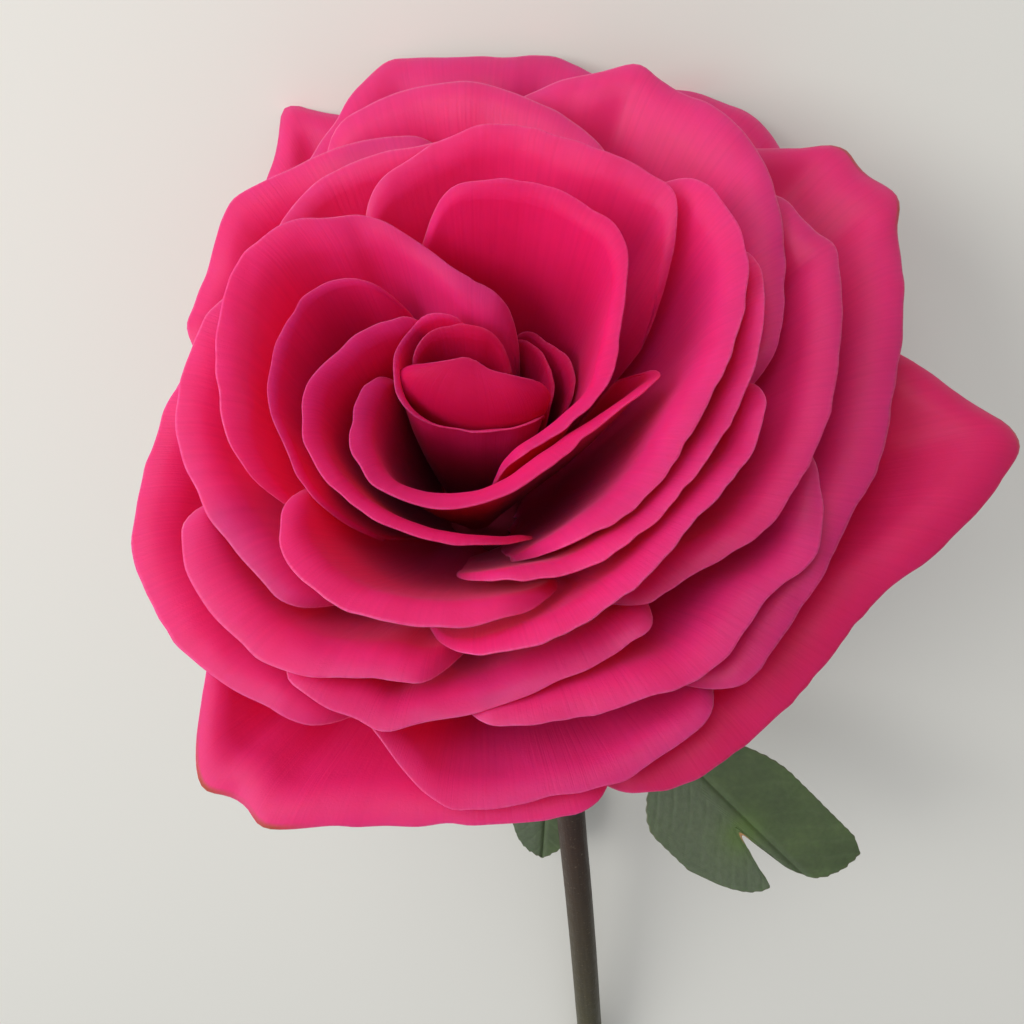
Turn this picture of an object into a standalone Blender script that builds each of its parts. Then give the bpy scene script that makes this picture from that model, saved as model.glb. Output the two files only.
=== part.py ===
"""One cut rose: a full bloom on a length of stem, lying on its side as picked."""

import math

import bpy
import numpy as np

# Sizes of the bloom, in millimetres, in the bloom's own frame:
# its axis is +Z and the origin is on that axis, level with the foot of the outer petals.
MILLIMETRE = 0.001
PETAL_THICKNESS = 0.46
PETAL_EDGE_THICKNESS = 0.34

# A petal's claw, the narrow foot by which it stands on the receptacle's cone: its half width in degrees,
# where the foot of a layer stands by the layer's radius, and the cone's height and its fall over its radius.
CLAW_HALF_ANGLE = 20.0
CLAW_LAYERS = (0.0, 10.0, 84.0)
CLAW_FOOT_RADII = (0.9, 3.9, 14.2)
CONE_TOP = 10.4
CONE_FALL = 0.9375

# The petals of the heart lean back together, by this much at this height.
HEART_LEAN = 4.5
LEAN_HEIGHT = 42.0
HEART_PETALS = ("heart_front", "heart_back", "heart_fold", "inner_a")

# How a petal's sides run down beyond its last station: their width as a share of the petal's spread, the most
# that width may be, the most they fall, and the most they fall per millimetre of their run.
SIDE_SHARE = 0.09
SIDE_MOST = 4.0
SIDE_FALL = 13.0
SIDE_STEEPNESS = 1.2

# The least a lip turns, as a share of its full turn, the least it rolls, and how far the foot of the closed
# petal is drawn in.
LEAST_TURN_SHARE = 0.6
LEAST_ROLL = 0.35
FOLDED_PINCH = 0.6

# How a layer of petals climbs, by its radius at the top: height, and slope at foot and top.
LAYER_RADII = (0.0, 10.0, 25.0, 35.0, 45.0, 55.0, 65.0, 80.0)
LAYER_HEIGHTS = (48.0, 48.0, 48.0, 46.5, 43.0, 37.0, 30.0, 21.0)
FOOT_SLOPES = (88.0, 80.0, 58.0, 46.0, 36.0, 28.0, 20.0, 10.0)
TOP_SLOPES = (90.0, 86.0, 72.0, 63.0, 54.0, 44.0, 32.0, 12.0)

# Each petal: how far its lip rolls out, by what angle, and stations along its free edge.
# A station is (azimuth in degrees, radius, height). A negative roll closes inwards.
PETALS = {
    "heart_front": (-4.6, -80, [
        (194, 6.6, 43), (201, 5.0, 44), (213, 3.3, 44.6), (235, 2.0, 44.8), (261, 1.5, 44.6),
        (289, 1.7, 44.3), (312, 3.1, 43.9), (326, 5.0, 43.4), (336, 6.8, 42.6)]),
    "heart_back": (0.9, 60, [
        (170, 8.5, 42), (157, 8.2, 42), (141, 7.5, 42), (117, 6.5, 42), (87, 6.0, 41.5), (64, 6.7, 40),
        (50, 7.1, 38.5)]),
    "heart_fold": (0.6, 60, [
        (125, 5.0, 39), (98, 4.4, 39.5), (70, 4.6, 38.5)]),
    "inner_a": (0.6, 70, [
        (58, 9.4, 40.5), (85, 8.0, 42), (113, 8.7, 42), (138, 9.9, 42), (164, 10.4, 42),
        (182, 10.7, 42), (199, 10.8, 41.5), (215, 10.5, 40.5), (224, 9.7, 39.5), (239, 8.2, 38.5),
        (261, 7.4, 38), (289, 7.7, 38), (315, 9.4, 38), (332, 10.2, 38), (349, 10.3, 38)]),
    "inner_b": (0.7, 70, [
        (70, 16.2, 31.6), (60, 15.4, 32.8), (48, 14.3, 33.8), (36, 13, 34.4), (22, 11.6, 34.4), (10, 10.7, 34.2)]),
    "inner_c": (0.7, 70, [
        (70, 18, 31.2), (54, 17, 32.5), (40, 16.3, 34), (30, 15.8, 34.8), (20, 14.8, 35), (9, 13.1, 34.8)]),
    "inner_d": (2.8, 80, [
        (159, 13.4, 41.4), (168, 13.4, 42.4), (180, 14.2, 43.2), (198, 16, 44), (217, 18, 46),
        (233, 19, 46), (259, 18, 46), (274, 17.2, 46), (307, 15.6, 46), (330, 16.4, 45.4),
        (342, 18, 45), (353, 20.7, 45), (361, 23.2, 44.5), (366, 25.4, 44), (370, 27, 43.4)]),
    "inner_e": (2.2, 85, [
        (118, 14.2, 42), (134, 15, 43), (150, 16.5, 44), (169, 18.5, 45), (185, 21, 46),
        (204, 22.5, 46), (237, 22.5, 46), (264, 22, 45), (284, 22, 44)]),
    "inner_f": (2.5, 80, [
        (101, 26.3, 47), (91, 29, 50), (67, 29, 50), (49, 29, 50), (28, 23, 49), (13, 20, 47),
        (-6, 16.8, 46), (-18, 14.8, 45.4), (-32, 13.4, 45), (-51, 12.2, 44.8), (-68, 11.6, 44.6)]),
    "inner_g": (1.2, 80, [
        (124, 20.6, 42.6), (130, 21.9, 43.8), (136.5, 23.9, 44), (153, 26, 45), (187, 26, 45), (204, 25, 43),
        (222, 25, 42)]),
    "middle_a": (4.2, 98, [
        (68, 15.5, 40.5), (80, 15.9, 41.5), (95, 17.7, 43), (104, 20.4, 44), (112, 24.2, 45),
        (119, 28.2, 46), (125.5, 30.2, 46.6), (129, 30.3, 47), (132.5, 31.6, 47.4), (138.5, 33.6, 48),
        (148, 34.8, 48), (158, 34.3, 48), (167, 33.2, 47.6), (177, 32.5, 47), (194, 31.6, 46),
        (204, 31.6, 45)]),
    "middle_b": (4.2, 98, [
        (209, 27.4, 42), (217, 29.4, 43), (225, 32, 44), (243, 33.5, 45), (262, 32.5, 45),
        (277, 31.4, 44), (285, 30.4, 42), (290, 30.1, 42)]),
    "middle_c": (4.8, 98, [
        (55, 43.5, 43), (48, 45.2, 44), (34, 43.4, 45), (21, 38.8, 45), (8, 34, 46), (-6, 30, 46),
        (-26, 27.5, 45), (-52, 25.5, 44), (-68, 24.3, 43)]),
    "middle_d": (3.2, 98, [
        (36, 46, 41), (27, 44, 42), (16, 40, 44), (4, 36.5, 44), (-10, 33, 44), (-25, 30.5, 44),
        (-47, 29, 44), (-64, 27.8, 43), (-79, 26.5, 43), (-89, 26.2, 43)]),
    "middle_e": (3.8, 98, [
        (6, 39.5, 42), (-11, 37, 42), (-24, 34.5, 43), (-39, 33, 43), (-55, 33.5, 43), (-72, 34.5, 43),
        (-83, 34.8, 42), (-95, 35, 41)]),
    "middle_f": (3.8, 98, [
        (121, 32.5, 43), (113, 35, 44), (100, 38, 45), (83, 41, 46), (67, 40, 46), (48, 41, 45),
        (42, 37.6, 44), (36, 34.8, 43.3)]),
    "outer_a": (6.6, 122, [
        (112, 53, 38), (99, 55, 39), (90, 54, 40), (80, 51, 40), (67, 46, 40)]),
    "outer_b": (7.6, 122, [
        (82, 55, 37), (76, 59.4, 37), (71, 61.8, 37.6), (67, 64.6, 38), (63, 62.6, 38), (51, 61, 39),
        (38, 55, 39), (25, 48, 38), (14, 43, 38)]),
    "outer_c": (3.2, 122, [
        (93, 43, 40), (101, 42, 41), (120, 42, 41), (131, 40, 41), (138, 38, 41)]),
    "outer_d": (6.1, 122, [
        (101, 46.5, 38), (113, 48, 38), (125, 49, 37), (135, 50, 37), (143, 47, 37), (151, 44.5, 36),
        (161, 43, 36)]),
    "outer_e": (5.6, 122, [
        (148, 37.5, 38), (162, 40, 38), (183, 39.5, 38), (203, 37.5, 38), (214, 36.3, 38),
        (230, 35.4, 37)]),
    "outer_f": (6.6, 122, [
        (172, 42, 33), (181, 44, 32), (190, 46, 32), (205, 49, 32), (213, 49, 32), (227, 48, 32),
        (236, 46.7, 32), (243, 46, 31)]),
    "outer_g": (6.1, 122, [
        (205, 41, 38), (217, 43, 38), (230, 43, 38), (238, 42, 38), (247, 40, 38), (254, 38.4, 38),
        (260, 38.2, 38)]),
    "outer_h": (5.7, 122, [
        (240, 43.3, 36), (246, 43.4, 35), (251, 43.2, 34.4), (255.5, 44.2, 34), (260, 42.2, 34),
        (270, 40.5, 34), (287, 38, 35), (298, 37.6, 35), (306, 37.6, 36)]),
    "outer_i": (5.6, 122, [
        (38, 57, 37), (31, 56.6, 37), (27, 58.2, 37.3), (23, 55.8, 38), (1, 48, 38), (-14, 44, 38),
        (-26, 41, 38), (-39, 36.5, 37), (-50, 35, 37)]),
    "outer_j": (5.6, 122, [
        (-6, 46.6, 32.5), (-13, 48, 33), (-22, 49, 33), (-35, 45.5, 33), (-49, 46, 33), (-61, 44, 34),
        (-75, 42.5, 34), (-86, 42, 34)]),
    "guard_a": (7.9, 125, [
        (49, 65, 31), (44.5, 70.5, 31), (41, 75.6, 31), (37, 74.2, 31), (32, 75.8, 31), (28, 71.6, 31),
        (20, 67, 31), (7, 60, 31), (-5, 56, 31), (-17, 52, 31), (-36, 50, 30), (-44, 50, 30)]),
    "guard_b": (7.9, 125, [
        (121, 53, 31), (113, 59, 31), (106, 66, 31), (102, 69, 31), (96, 67, 32), (87, 67, 32),
        (80, 69, 31), (72, 66, 31)]),
    "guard_c": (4.4, 108, [
        (252, 42.6, 31), (256.5, 45, 29.5), (260.5, 47.6, 28.5), (264, 50, 28), (268, 51, 27.5),
        (274, 50.8, 27), (280, 50.4, 27), (287, 50.8, 27), (292, 51, 27), (297, 50.6, 27),
        (303, 50.4, 27), (308, 49.8, 27)]),
    "guard_d": (6.7, 125, [
        (222, 47, 27), (227, 52.4, 26), (231.6, 57.4, 25.4), (234.6, 59.4, 25), (237.6, 57.7, 25),
        (240.6, 58.3, 25), (243.4, 59.4, 25), (248, 57, 24.8), (260, 53.4, 24), (270, 52.4, 23.6),
        (279, 52.4, 23.4), (286, 52.8, 23.3)]),
    "guard_e": (9.2, 125, [
        (17, 63, 25), (9, 70, 25), (5, 74, 25), (1.5, 79, 25), (-3, 76, 25), (-14, 66, 24.5),
        (-22, 59.8, 24), (-34, 56.8, 23), (-47, 55.6, 22), (-54, 55, 22), (-60, 54.6, 21.6),
        (-64, 53.6, 21.6)]),
    "guard_f": (7.9, 125, [
        (98, 58, 24), (110, 65.5, 24), (114, 68.6, 24), (117, 72.5, 24), (120, 67, 24), (124, 61.5, 24),
        (140, 50, 24), (153, 46.6, 24)]),
    "guard_g": (5.3, 125, [
        (28, 66, 23), (44, 73, 23), (55, 77, 24), (63, 76, 24), (72, 68, 24), (86, 62, 24)]),
    "guard_h": (7.9, 125, [
        (158, 44, 26), (175, 46, 25), (195, 47, 25), (210, 45.4, 25.6)]),
}

# Sizes of the pieces under the bloom, in the same frame.
RECEPTACLE_PROFILE = [(0.0, 8.6), (1.2, 8.6), (7.6, 2.6), (14.0, -3.4), (13.9, -4.6), (12.2, -6.4),
                      (9.8, -8.6), (8.4, -11.0), (7.4, -14.0), (5.6, -17.4), (3.7, -19.6), (0.0, -19.9)]
STAMEN_PROFILE = [(0.0, 15.2), (0.35, 14.8), (0.5, 13.4), (0.45, 11.0), (0.4, 8.9), (0.0, 8.9)]
ROUND_SIDES = 20
STEM_TOP_RADIUS = 3.1
STEM_END_RADIUS = 3.6
STEM_PATH = [(0.0, 0.0, -20.3), (0.2, -0.6, -29.0), (8.0, -12.0, -46.0), (16.0, -27.0, -68.0),
             (19.8, -46.0, -98.0), (23.5, -66.0, -134.0), (27.0, -86.0, -172.0), (30.5, -104.0, -210.0)]
SEPAL_COUNT = 5
SEPAL_FIRST_AZIMUTH = 54.0
SEPAL_HALF_WIDTHS = (2.4, 4.6, 5.2, 4.2, 2.4, 0.7)
SEPAL_PATH = [(12.2, -7.3), (15.6, -9.4), (19.2, -13.2), (21.6, -18.6), (22.4, -24.6), (21.6, -30.4)]
SHEET_THICKNESS = 0.6

# The two leaves: foot, direction of the midrib, direction across, and outline as (across, length) pairs.
RIGHT_LEAF_FOOT = (38.0, -27.0, -62.0)
RIGHT_LEAF_ALONG = (0.71, -0.65, -0.26)
RIGHT_LEAF_ACROSS = (0.71, 0.65, 0.26)
RIGHT_LEAF_OUTLINE = [(-16.0, 22.0), (-13.0, 31.0), (-10.0, 36.0), (-7.0, 38.0), (-5.0, 31.0), (-3.0, 25.0),
                      (-1.5, 38.0), (1.0, 44.0), (4.0, 46.0), (8.0, 47.0), (11.5, 47.0), (13.5, 43.0)]
LEFT_LEAF_FOOT = (14.0, -26.0, -100.0)
LEFT_LEAF_ALONG = (-0.05, -0.85, -0.52)
LEFT_LEAF_ACROSS = (1.0, 0.0, 0.0)
LEFT_LEAF_OUTLINE = [(-8.5, 13.0), (-6.5, 18.5), (-4.0, 22.0), (-1.5, 24.0), (0.0, 25.0), (1.5, 24.0),
                     (4.0, 22.0), (6.5, 18.5), (8.5, 13.0)]
LEAF_FOLD = 0.16
LEAF_DROOP = 5.0
STALK_RADIUS = 0.9
RIGHT_STALK_PATH = [(17.9, -21.9, -58.9), (24.0, -22.8, -58.4), (31.0, -25.0, -60.0), (37.6, -26.8, -61.8)]
LEFT_STALK_PATH = [(17.6, -29.7, -79.1), (17.3, -28.0, -81.0), (16.0, -26.6, -89.0), (14.2, -26.0, -99.3)]

# How the flower lies: its face looks up at this angle, then it is turned to rest on three points.
BLOOM_AXIS_RISE = 36.0


def smooth_step(value):
    value = np.clip(value, 0.0, 1.0)
    return value * value * (3.0 - 2.0 * value)


def curve_through(places, values, wanted):
    """Smooth curve through stations, with no overshoot between them."""
    places = np.asarray(places, float)
    values = np.asarray(values, float)
    steps = np.diff(places)
    rises = np.diff(values) / steps
    slopes = np.zeros(len(places))
    slopes[0] = rises[0]
    slopes[-1] = rises[-1]
    for i in range(1, len(places) - 1):
        if rises[i - 1] * rises[i] > 0:
            slopes[i] = 2.0 * rises[i - 1] * rises[i] / (rises[i - 1] + rises[i])
    index = np.clip(np.searchsorted(places, wanted) - 1, 0, len(steps) - 1)
    share = np.clip((wanted - places[index]) / steps[index], 0.0, 1.0)
    span = steps[index]
    left = 1.0 - share
    first = left ** 2 * ((1 + 2 * share) * values[index] + share * span * slopes[index])
    last = share ** 2 * ((3 - 2 * share) * values[index + 1] - left * span * slopes[index + 1])
    return first + last


def layer_point(layer, climb):
    """Radius and height on a layer's meridian, a cubic curve that goes on straight past its end."""
    foot_slope = np.radians(np.interp(layer, LAYER_RADII, FOOT_SLOPES))
    top_slope = np.radians(np.interp(layer, LAYER_RADII, TOP_SLOPES))
    foot_radius = np.interp(layer, CLAW_LAYERS, CLAW_FOOT_RADII)
    foot = np.array([[foot_radius], [CONE_TOP - CONE_FALL * foot_radius]])
    top = np.array([[layer], [np.interp(layer, LAYER_RADII, LAYER_HEIGHTS)]])
    reach = 0.42 * np.linalg.norm(top - foot)
    second = foot + reach * np.array([[math.cos(foot_slope)], [math.sin(foot_slope)]])
    third = top - reach * np.array([[math.cos(top_slope)], [math.sin(top_slope)]])
    inside = np.clip(climb, 0.0, 1.0)
    beyond = np.maximum(climb - 1.0, 0.0)
    curve = ((1 - inside) ** 3 * foot + 3 * inside * (1 - inside) ** 2 * second
             + 3 * inside ** 2 * (1 - inside) * third + inside ** 3 * top)
    return curve + 3 * beyond * (top - third)


TABLE_LAYERS = np.linspace(1.0, 84.0, 333)
TABLE_CLIMBS = np.linspace(0.0, 1.6, 321)
TABLE = np.array([layer_point(layer, TABLE_CLIMBS) for layer in TABLE_LAYERS])


def layer_through(radius, height):
    """The layer whose meridian passes through a point, and how far up that layer the point is."""
    radii = np.array([np.interp(height, row[1], row[0]) for row in TABLE])
    layer = np.interp(radius, radii, TABLE_LAYERS)
    return layer, climb_at(layer, height)


def climb_at(layer, height):
    """How far up its meridian a layer reaches a height."""
    nearest = layer_point(layer, TABLE_CLIMBS)
    return np.interp(height, nearest[1], TABLE_CLIMBS)


def wall_slope(layer, climb):
    here = layer_point(layer, np.array([climb - 0.01, climb + 0.01]))
    return math.atan2(here[1][1] - here[1][0], here[0][1] - here[0][0])


def lip_turn(slope, turn_degrees):
    """Turn of a lip, less where the wall already leans out."""
    if turn_degrees < 0.0:
        return math.radians(turn_degrees)
    leaning = turn_degrees - 90.0 + math.degrees(slope)
    return math.radians(max(LEAST_TURN_SHARE * turn_degrees, leaning))


def lip_shift(slope, turn, roll):
    """Outward and upward travel of a lip that turns by an angle while it rolls out by a distance."""
    out = math.sin(slope) - math.sin(slope - turn)
    up = math.cos(slope - turn) - math.cos(slope)
    radius = roll / out
    return radius, radius * out, radius * up


def petal_grid(stations, roll, turn_degrees, columns, wall_rows, lip_rows, lean=0.0):
    """Middle surface of a petal: rows from the claw to the free edge, columns from side to side."""
    stations = sorted(stations)
    places = [station[0] for station in stations]
    widest = math.degrees(SIDE_MOST / np.mean([station[1] for station in stations]))
    side = min(SIDE_SHARE * (places[-1] - places[0]), widest)
    first, last = places[0] - side, places[-1] + side
    middle = (first + last) / 2.0
    across = np.linspace(-1.0, 1.0, columns)
    azimuths = middle + across * (last - first) / 2.0
    radii = curve_through(places, [station[1] for station in stations], azimuths)
    heights = curve_through(places, [station[2] for station in stations], azimuths)
    past = np.abs(azimuths - middle) - (last - first) / 2.0 + 3.0 * side
    side_length = 3.0 * math.radians(side) * np.mean(radii)
    falls = min(SIDE_FALL, SIDE_STEEPNESS * side_length) * np.clip(past / (3.0 * side), 0.0, 1.0) ** 3
    pinch = FOLDED_PINCH if roll < 0.0 else 0.0
    turns = np.zeros(columns)
    rolls = math.copysign(1.0, roll) * np.maximum(abs(roll) * (1.0 - 0.85 * np.abs(across) ** 4), LEAST_ROLL)
    layers = np.zeros(columns)
    climbs = np.zeros(columns)
    slopes = np.full(columns, math.radians(85.0))
    for c in range(columns):
        for _ in range(4):
            turns[c] = lip_turn(slopes[c], turn_degrees)
            _, out, up = lip_shift(slopes[c], turns[c], rolls[c])
            layers[c], climbs[c] = layer_through(radii[c] - out, heights[c] - up)
            slopes[c] = wall_slope(layers[c], climbs[c])
        climbs[c] = climb_at(layers[c], heights[c] - up - falls[c])
        slopes[c] = wall_slope(layers[c], climbs[c])
    claw = min(1.0, 2.0 * CLAW_HALF_ANGLE / (last - first))
    rows = []
    for s in np.linspace(0.0, 1.0, wall_rows):
        width = claw + (1.0 - claw) * smooth_step(s / 0.42)
        place = middle + (azimuths - middle) * width
        layer = np.interp(place, azimuths, layers) * (1.0 - pinch * (1.0 - s))
        row = []
        for c in range(columns):
            radius, height = layer_point(layer[c], np.array([climbs[c] * s]))
            row.append((place[c], radius[0], height[0]))
        rows.append(row)
    for s in np.linspace(0.0, 1.0, lip_rows + 1)[1:]:
        row = []
        for c in range(columns):
            radius, height = layer_point(layers[c], np.array([climbs[c]]))
            bend, _, _ = lip_shift(slopes[c], turns[c], rolls[c])
            out = bend * (math.sin(slopes[c]) - math.sin(slopes[c] - turns[c] * s))
            up = bend * (math.cos(slopes[c] - turns[c] * s) - math.cos(slopes[c]))
            row.append((azimuths[c], radius[0] + out, height[0] + up))
        rows.append(row)
    grid = np.array(rows)
    angle = np.radians(grid[:, :, 0])
    shift = lean * (grid[:, :, 2] / LEAN_HEIGHT) ** 2
    x = grid[:, :, 1] * np.cos(angle)
    y = grid[:, :, 1] * np.sin(angle) + shift
    return np.stack([x, y, grid[:, :, 2]], axis=2)


def sheet_solid(grid, thickness, edge_thickness):
    """Closed thin solid either side of a middle surface, thinner along its free edges."""
    down = np.gradient(grid, axis=0)
    over = np.gradient(grid, axis=1)
    normal = np.cross(over, down)
    normal /= np.maximum(np.linalg.norm(normal, axis=2, keepdims=True), 1e-9)
    rows, columns = grid.shape[:2]
    half = np.full((rows, columns), thickness / 2.0)
    half[0, :] = edge_thickness / 2.0
    half[-1, :] = edge_thickness / 2.0
    half[:, 0] = edge_thickness / 2.0
    half[:, -1] = edge_thickness / 2.0
    front = grid + normal * half[:, :, None]
    back = grid - normal * half[:, :, None]
    points = np.concatenate([front.reshape(-1, 3), back.reshape(-1, 3)])
    size = rows * columns
    faces = []
    for r in range(rows - 1):
        for c in range(columns - 1):
            a, b = r * columns + c, r * columns + c + 1
            d, e = a + columns, b + columns
            faces.append((a, b, e, d))
            faces.append((size + a, size + d, size + e, size + b))
    for c in range(columns - 1):
        faces.append((c, size + c, size + c + 1, c + 1))
        top = (rows - 1) * columns + c
        faces.append((top, top + 1, size + top + 1, size + top))
    for r in range(rows - 1):
        left = r * columns
        right = left + columns - 1
        faces.append((left, left + columns, size + left + columns, size + left))
        faces.append((right, size + right, size + right + columns, right + columns))
    return points, faces


def petal_columns(stations):
    span = max(station[0] for station in stations) - min(station[0] for station in stations)
    return max(7, int(round(span / 10.5)) + 1)


def turned_solid(profile, sides):
    """Closed solid of revolution about the bloom's axis, from a profile whose two ends are on the axis."""
    points = [(0.0, 0.0, profile[0][1])]
    for radius, height in profile[1:-1]:
        for i in range(sides):
            angle = 2.0 * math.pi * i / sides
            points.append((radius * math.cos(angle), radius * math.sin(angle), height))
    points.append((0.0, 0.0, profile[-1][1]))
    return np.array(points), ring_faces(len(profile) - 2, sides)


def ring_faces(rings, sides):
    """Faces between rings of points, with a point at each end."""
    faces = []
    last = rings * sides + 1
    for i in range(sides):
        j = (i + 1) % sides
        faces.append((0, 1 + i, 1 + j))
        faces.append((last, last - sides + j, last - sides + i))
        for ring in range(rings - 1):
            a = 1 + ring * sides
            faces.append((a + i, a + sides + i, a + sides + j, a + j))
    return faces


def swept_tube(path, radii, sides):
    """Closed round rod along a path."""
    path = np.array(path, float)
    points = [path[0]]
    for i, centre in enumerate(path):
        along = path[min(i + 1, len(path) - 1)] - path[max(i - 1, 0)]
        along = along / np.linalg.norm(along)
        first = np.cross(along, (1.0, 0.0, 0.0))
        first = first / np.linalg.norm(first)
        second = np.cross(along, first)
        for k in range(sides):
            angle = 2.0 * math.pi * k / sides
            points.append(centre + radii[i] * (math.cos(angle) * first - math.sin(angle) * second))
    points.append(path[-1])
    return np.array(points), ring_faces(len(path), sides)


def smooth_path(stations, count):
    """Points at even steps along a smooth curve through path stations."""
    stations = np.array(stations, float)
    lengths = np.concatenate([[0.0], np.cumsum(np.linalg.norm(np.diff(stations, axis=0), axis=1))])
    wanted = np.linspace(0.0, lengths[-1], count)
    return np.stack([curve_through(lengths, stations[:, k], wanted) for k in range(3)], axis=1)


def sepal_grid(azimuth):
    angle = math.radians(azimuth)
    out = np.array([math.cos(angle), math.sin(angle), 0.0])
    side = np.array([-math.sin(angle), math.cos(angle), 0.0])
    rows = []
    for (radius, height), half in zip(SEPAL_PATH, SEPAL_HALF_WIDTHS):
        row = [out * (radius - 0.10 * abs(x) * half * 0.5) + side * x * half + np.array([0.0, 0.0, height])
               for x in np.linspace(-1.0, 1.0, 5)]
        rows.append(row)
    return np.array(rows)


def leaf_grid(foot, along, across, outline, rows):
    """Leaf blade folded a little along its midrib, its far end following the outline."""
    foot = np.array(foot)
    along = np.array(along) / np.linalg.norm(along)
    across = np.array(across) / np.linalg.norm(across)
    up = np.cross(along, across)
    grid = []
    for s in np.linspace(0.0, 1.0, rows):
        row = []
        for x, length in outline:
            spread = 0.12 + 0.88 * math.sin(min(1.0, s / 0.55) * math.pi / 2.0) ** 0.8
            lift = LEAF_FOLD * abs(x) * spread - LEAF_DROOP * (s * length / 40.0) ** 2
            row.append(foot + along * s * length + across * x * spread + up * lift)
        grid.append(row)
    return np.array(grid)


def turned_about(axis, angle, points):
    """Points turned about an axis through the origin."""
    axis = np.array(axis, float) / np.linalg.norm(axis)
    cosine, sine = math.cos(angle), math.sin(angle)
    along = np.outer(points @ axis, axis)
    return points * cosine + np.cross(axis, points) * sine + along * (1.0 - cosine)


def laid_down(pieces):
    """Every piece's points with the flower on its side, resting on two petals and the stem's end."""
    rise = math.radians(BLOOM_AXIS_RISE)
    turned = {}
    for name, points in pieces.items():
        y, z = points[:, 1], points[:, 2]
        turned[name] = np.stack([points[:, 0], y * math.sin(rise) + z * math.cos(rise),
                                 z * math.sin(rise) - y * math.cos(rise)], axis=1)
    for _ in range(12):
        bloom = np.concatenate([points for name, points in turned.items() if name != "stem"])
        left = bloom[bloom[:, 0] < -8.0]
        right = bloom[bloom[:, 0] > 8.0]
        contacts = [rest[np.argmin(rest[:, 2])] for rest in (left, right, turned["stem"])]
        level = np.cross(contacts[1] - contacts[0], contacts[2] - contacts[0])
        level = level / np.linalg.norm(level)
        level = level if level[2] > 0 else -level
        axis = np.cross(level, (0.0, 0.0, 1.0))
        size = np.linalg.norm(axis)
        if size < 1e-9:
            break
        angle = math.asin(min(1.0, size))
        turned = {name: turned_about(axis, angle, points) for name, points in turned.items()}
    every = np.concatenate(list(turned.values()))
    low, high = every.min(axis=0), every.max(axis=0)
    foot = np.array([(low[0] + high[0]) / 2.0, (low[1] + high[1]) / 2.0, low[2]])
    return {name: (points - foot) * MILLIMETRE for name, points in turned.items()}


def principled(name, colour, roughness):
    material = bpy.data.materials.new(name)
    material.use_nodes = True
    shader = material.node_tree.nodes["Principled BSDF"]
    shader.inputs["Base Color"].default_value = (*colour, 1.0)
    shader.inputs["Roughness"].default_value = roughness
    shader.inputs["Metallic"].default_value = 0.0
    return material


def add_piece(name, points, faces, material):
    mesh = bpy.data.meshes.new(name)
    mesh.from_pydata([tuple(point) for point in points], [], faces)
    mesh.update()
    mesh.polygons.foreach_set("use_smooth", [True] * len(mesh.polygons))
    mesh.materials.append(material)
    piece = bpy.data.objects.new(name, mesh)
    bpy.context.scene.collection.objects.link(piece)


for leftover in list(bpy.data.objects):
    bpy.data.objects.remove(leftover)

MATERIALS = {
    "petal": principled("petal", (0.72, 0.02, 0.13), 0.55),
    "leaf": principled("leaf", (0.09, 0.14, 0.05), 0.5),
    "stem": principled("stem", (0.07, 0.06, 0.04), 0.55),
    "stamen": principled("stamen", (0.60, 0.38, 0.08), 0.7),
}

shapes = {}
kinds = {}
for petal_name, (lip_roll, lip_degrees, edge_stations) in PETALS.items():
    columns = petal_columns(edge_stations)
    lean = HEART_LEAN if petal_name in HEART_PETALS else 0.0
    middle_surface = petal_grid(edge_stations, lip_roll, lip_degrees, columns, 6, 3, lean)
    shapes["petal_" + petal_name] = sheet_solid(middle_surface, PETAL_THICKNESS, PETAL_EDGE_THICKNESS)
    kinds["petal_" + petal_name] = "petal"
shapes["receptacle"] = turned_solid(RECEPTACLE_PROFILE, ROUND_SIDES)
kinds["receptacle"] = "leaf"
shapes["stamens"] = turned_solid(STAMEN_PROFILE, 10)
kinds["stamens"] = "stamen"
stem_line = smooth_path(STEM_PATH, 26)
stem_radii = np.linspace(STEM_TOP_RADIUS, STEM_END_RADIUS, 26)
shapes["stem"] = swept_tube(stem_line, stem_radii, 14)
kinds["stem"] = "stem"
for n in range(SEPAL_COUNT):
    sepal = sepal_grid(SEPAL_FIRST_AZIMUTH + n * 360.0 / SEPAL_COUNT)
    shapes["sepal_" + str(n + 1)] = sheet_solid(sepal, SHEET_THICKNESS, SHEET_THICKNESS)
    kinds["sepal_" + str(n + 1)] = "leaf"
right_blade = leaf_grid(RIGHT_LEAF_FOOT, RIGHT_LEAF_ALONG, RIGHT_LEAF_ACROSS, RIGHT_LEAF_OUTLINE, 8)
left_blade = leaf_grid(LEFT_LEAF_FOOT, LEFT_LEAF_ALONG, LEFT_LEAF_ACROSS, LEFT_LEAF_OUTLINE, 7)
shapes["leaf_right"] = sheet_solid(right_blade, SHEET_THICKNESS, SHEET_THICKNESS)
shapes["leaf_left"] = sheet_solid(left_blade, SHEET_THICKNESS, SHEET_THICKNESS)
kinds["leaf_right"] = "leaf"
kinds["leaf_left"] = "leaf"
for side, stalk_path in (("right", RIGHT_STALK_PATH), ("left", LEFT_STALK_PATH)):
    shapes["leaf_stalk_" + side] = swept_tube(smooth_path(stalk_path, 8), np.full(8, STALK_RADIUS), 8)
    kinds["leaf_stalk_" + side] = "stem"

placed = laid_down({name: points for name, (points, faces) in shapes.items()})
for name, (points, faces) in shapes.items():
    add_piece(name, placed[name], faces, MATERIALS[kinds[name]])
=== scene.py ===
"""The looks of one cut rose that lies on its side: velvety petals, hip, sepals, stem and two leaves."""

import math

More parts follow.
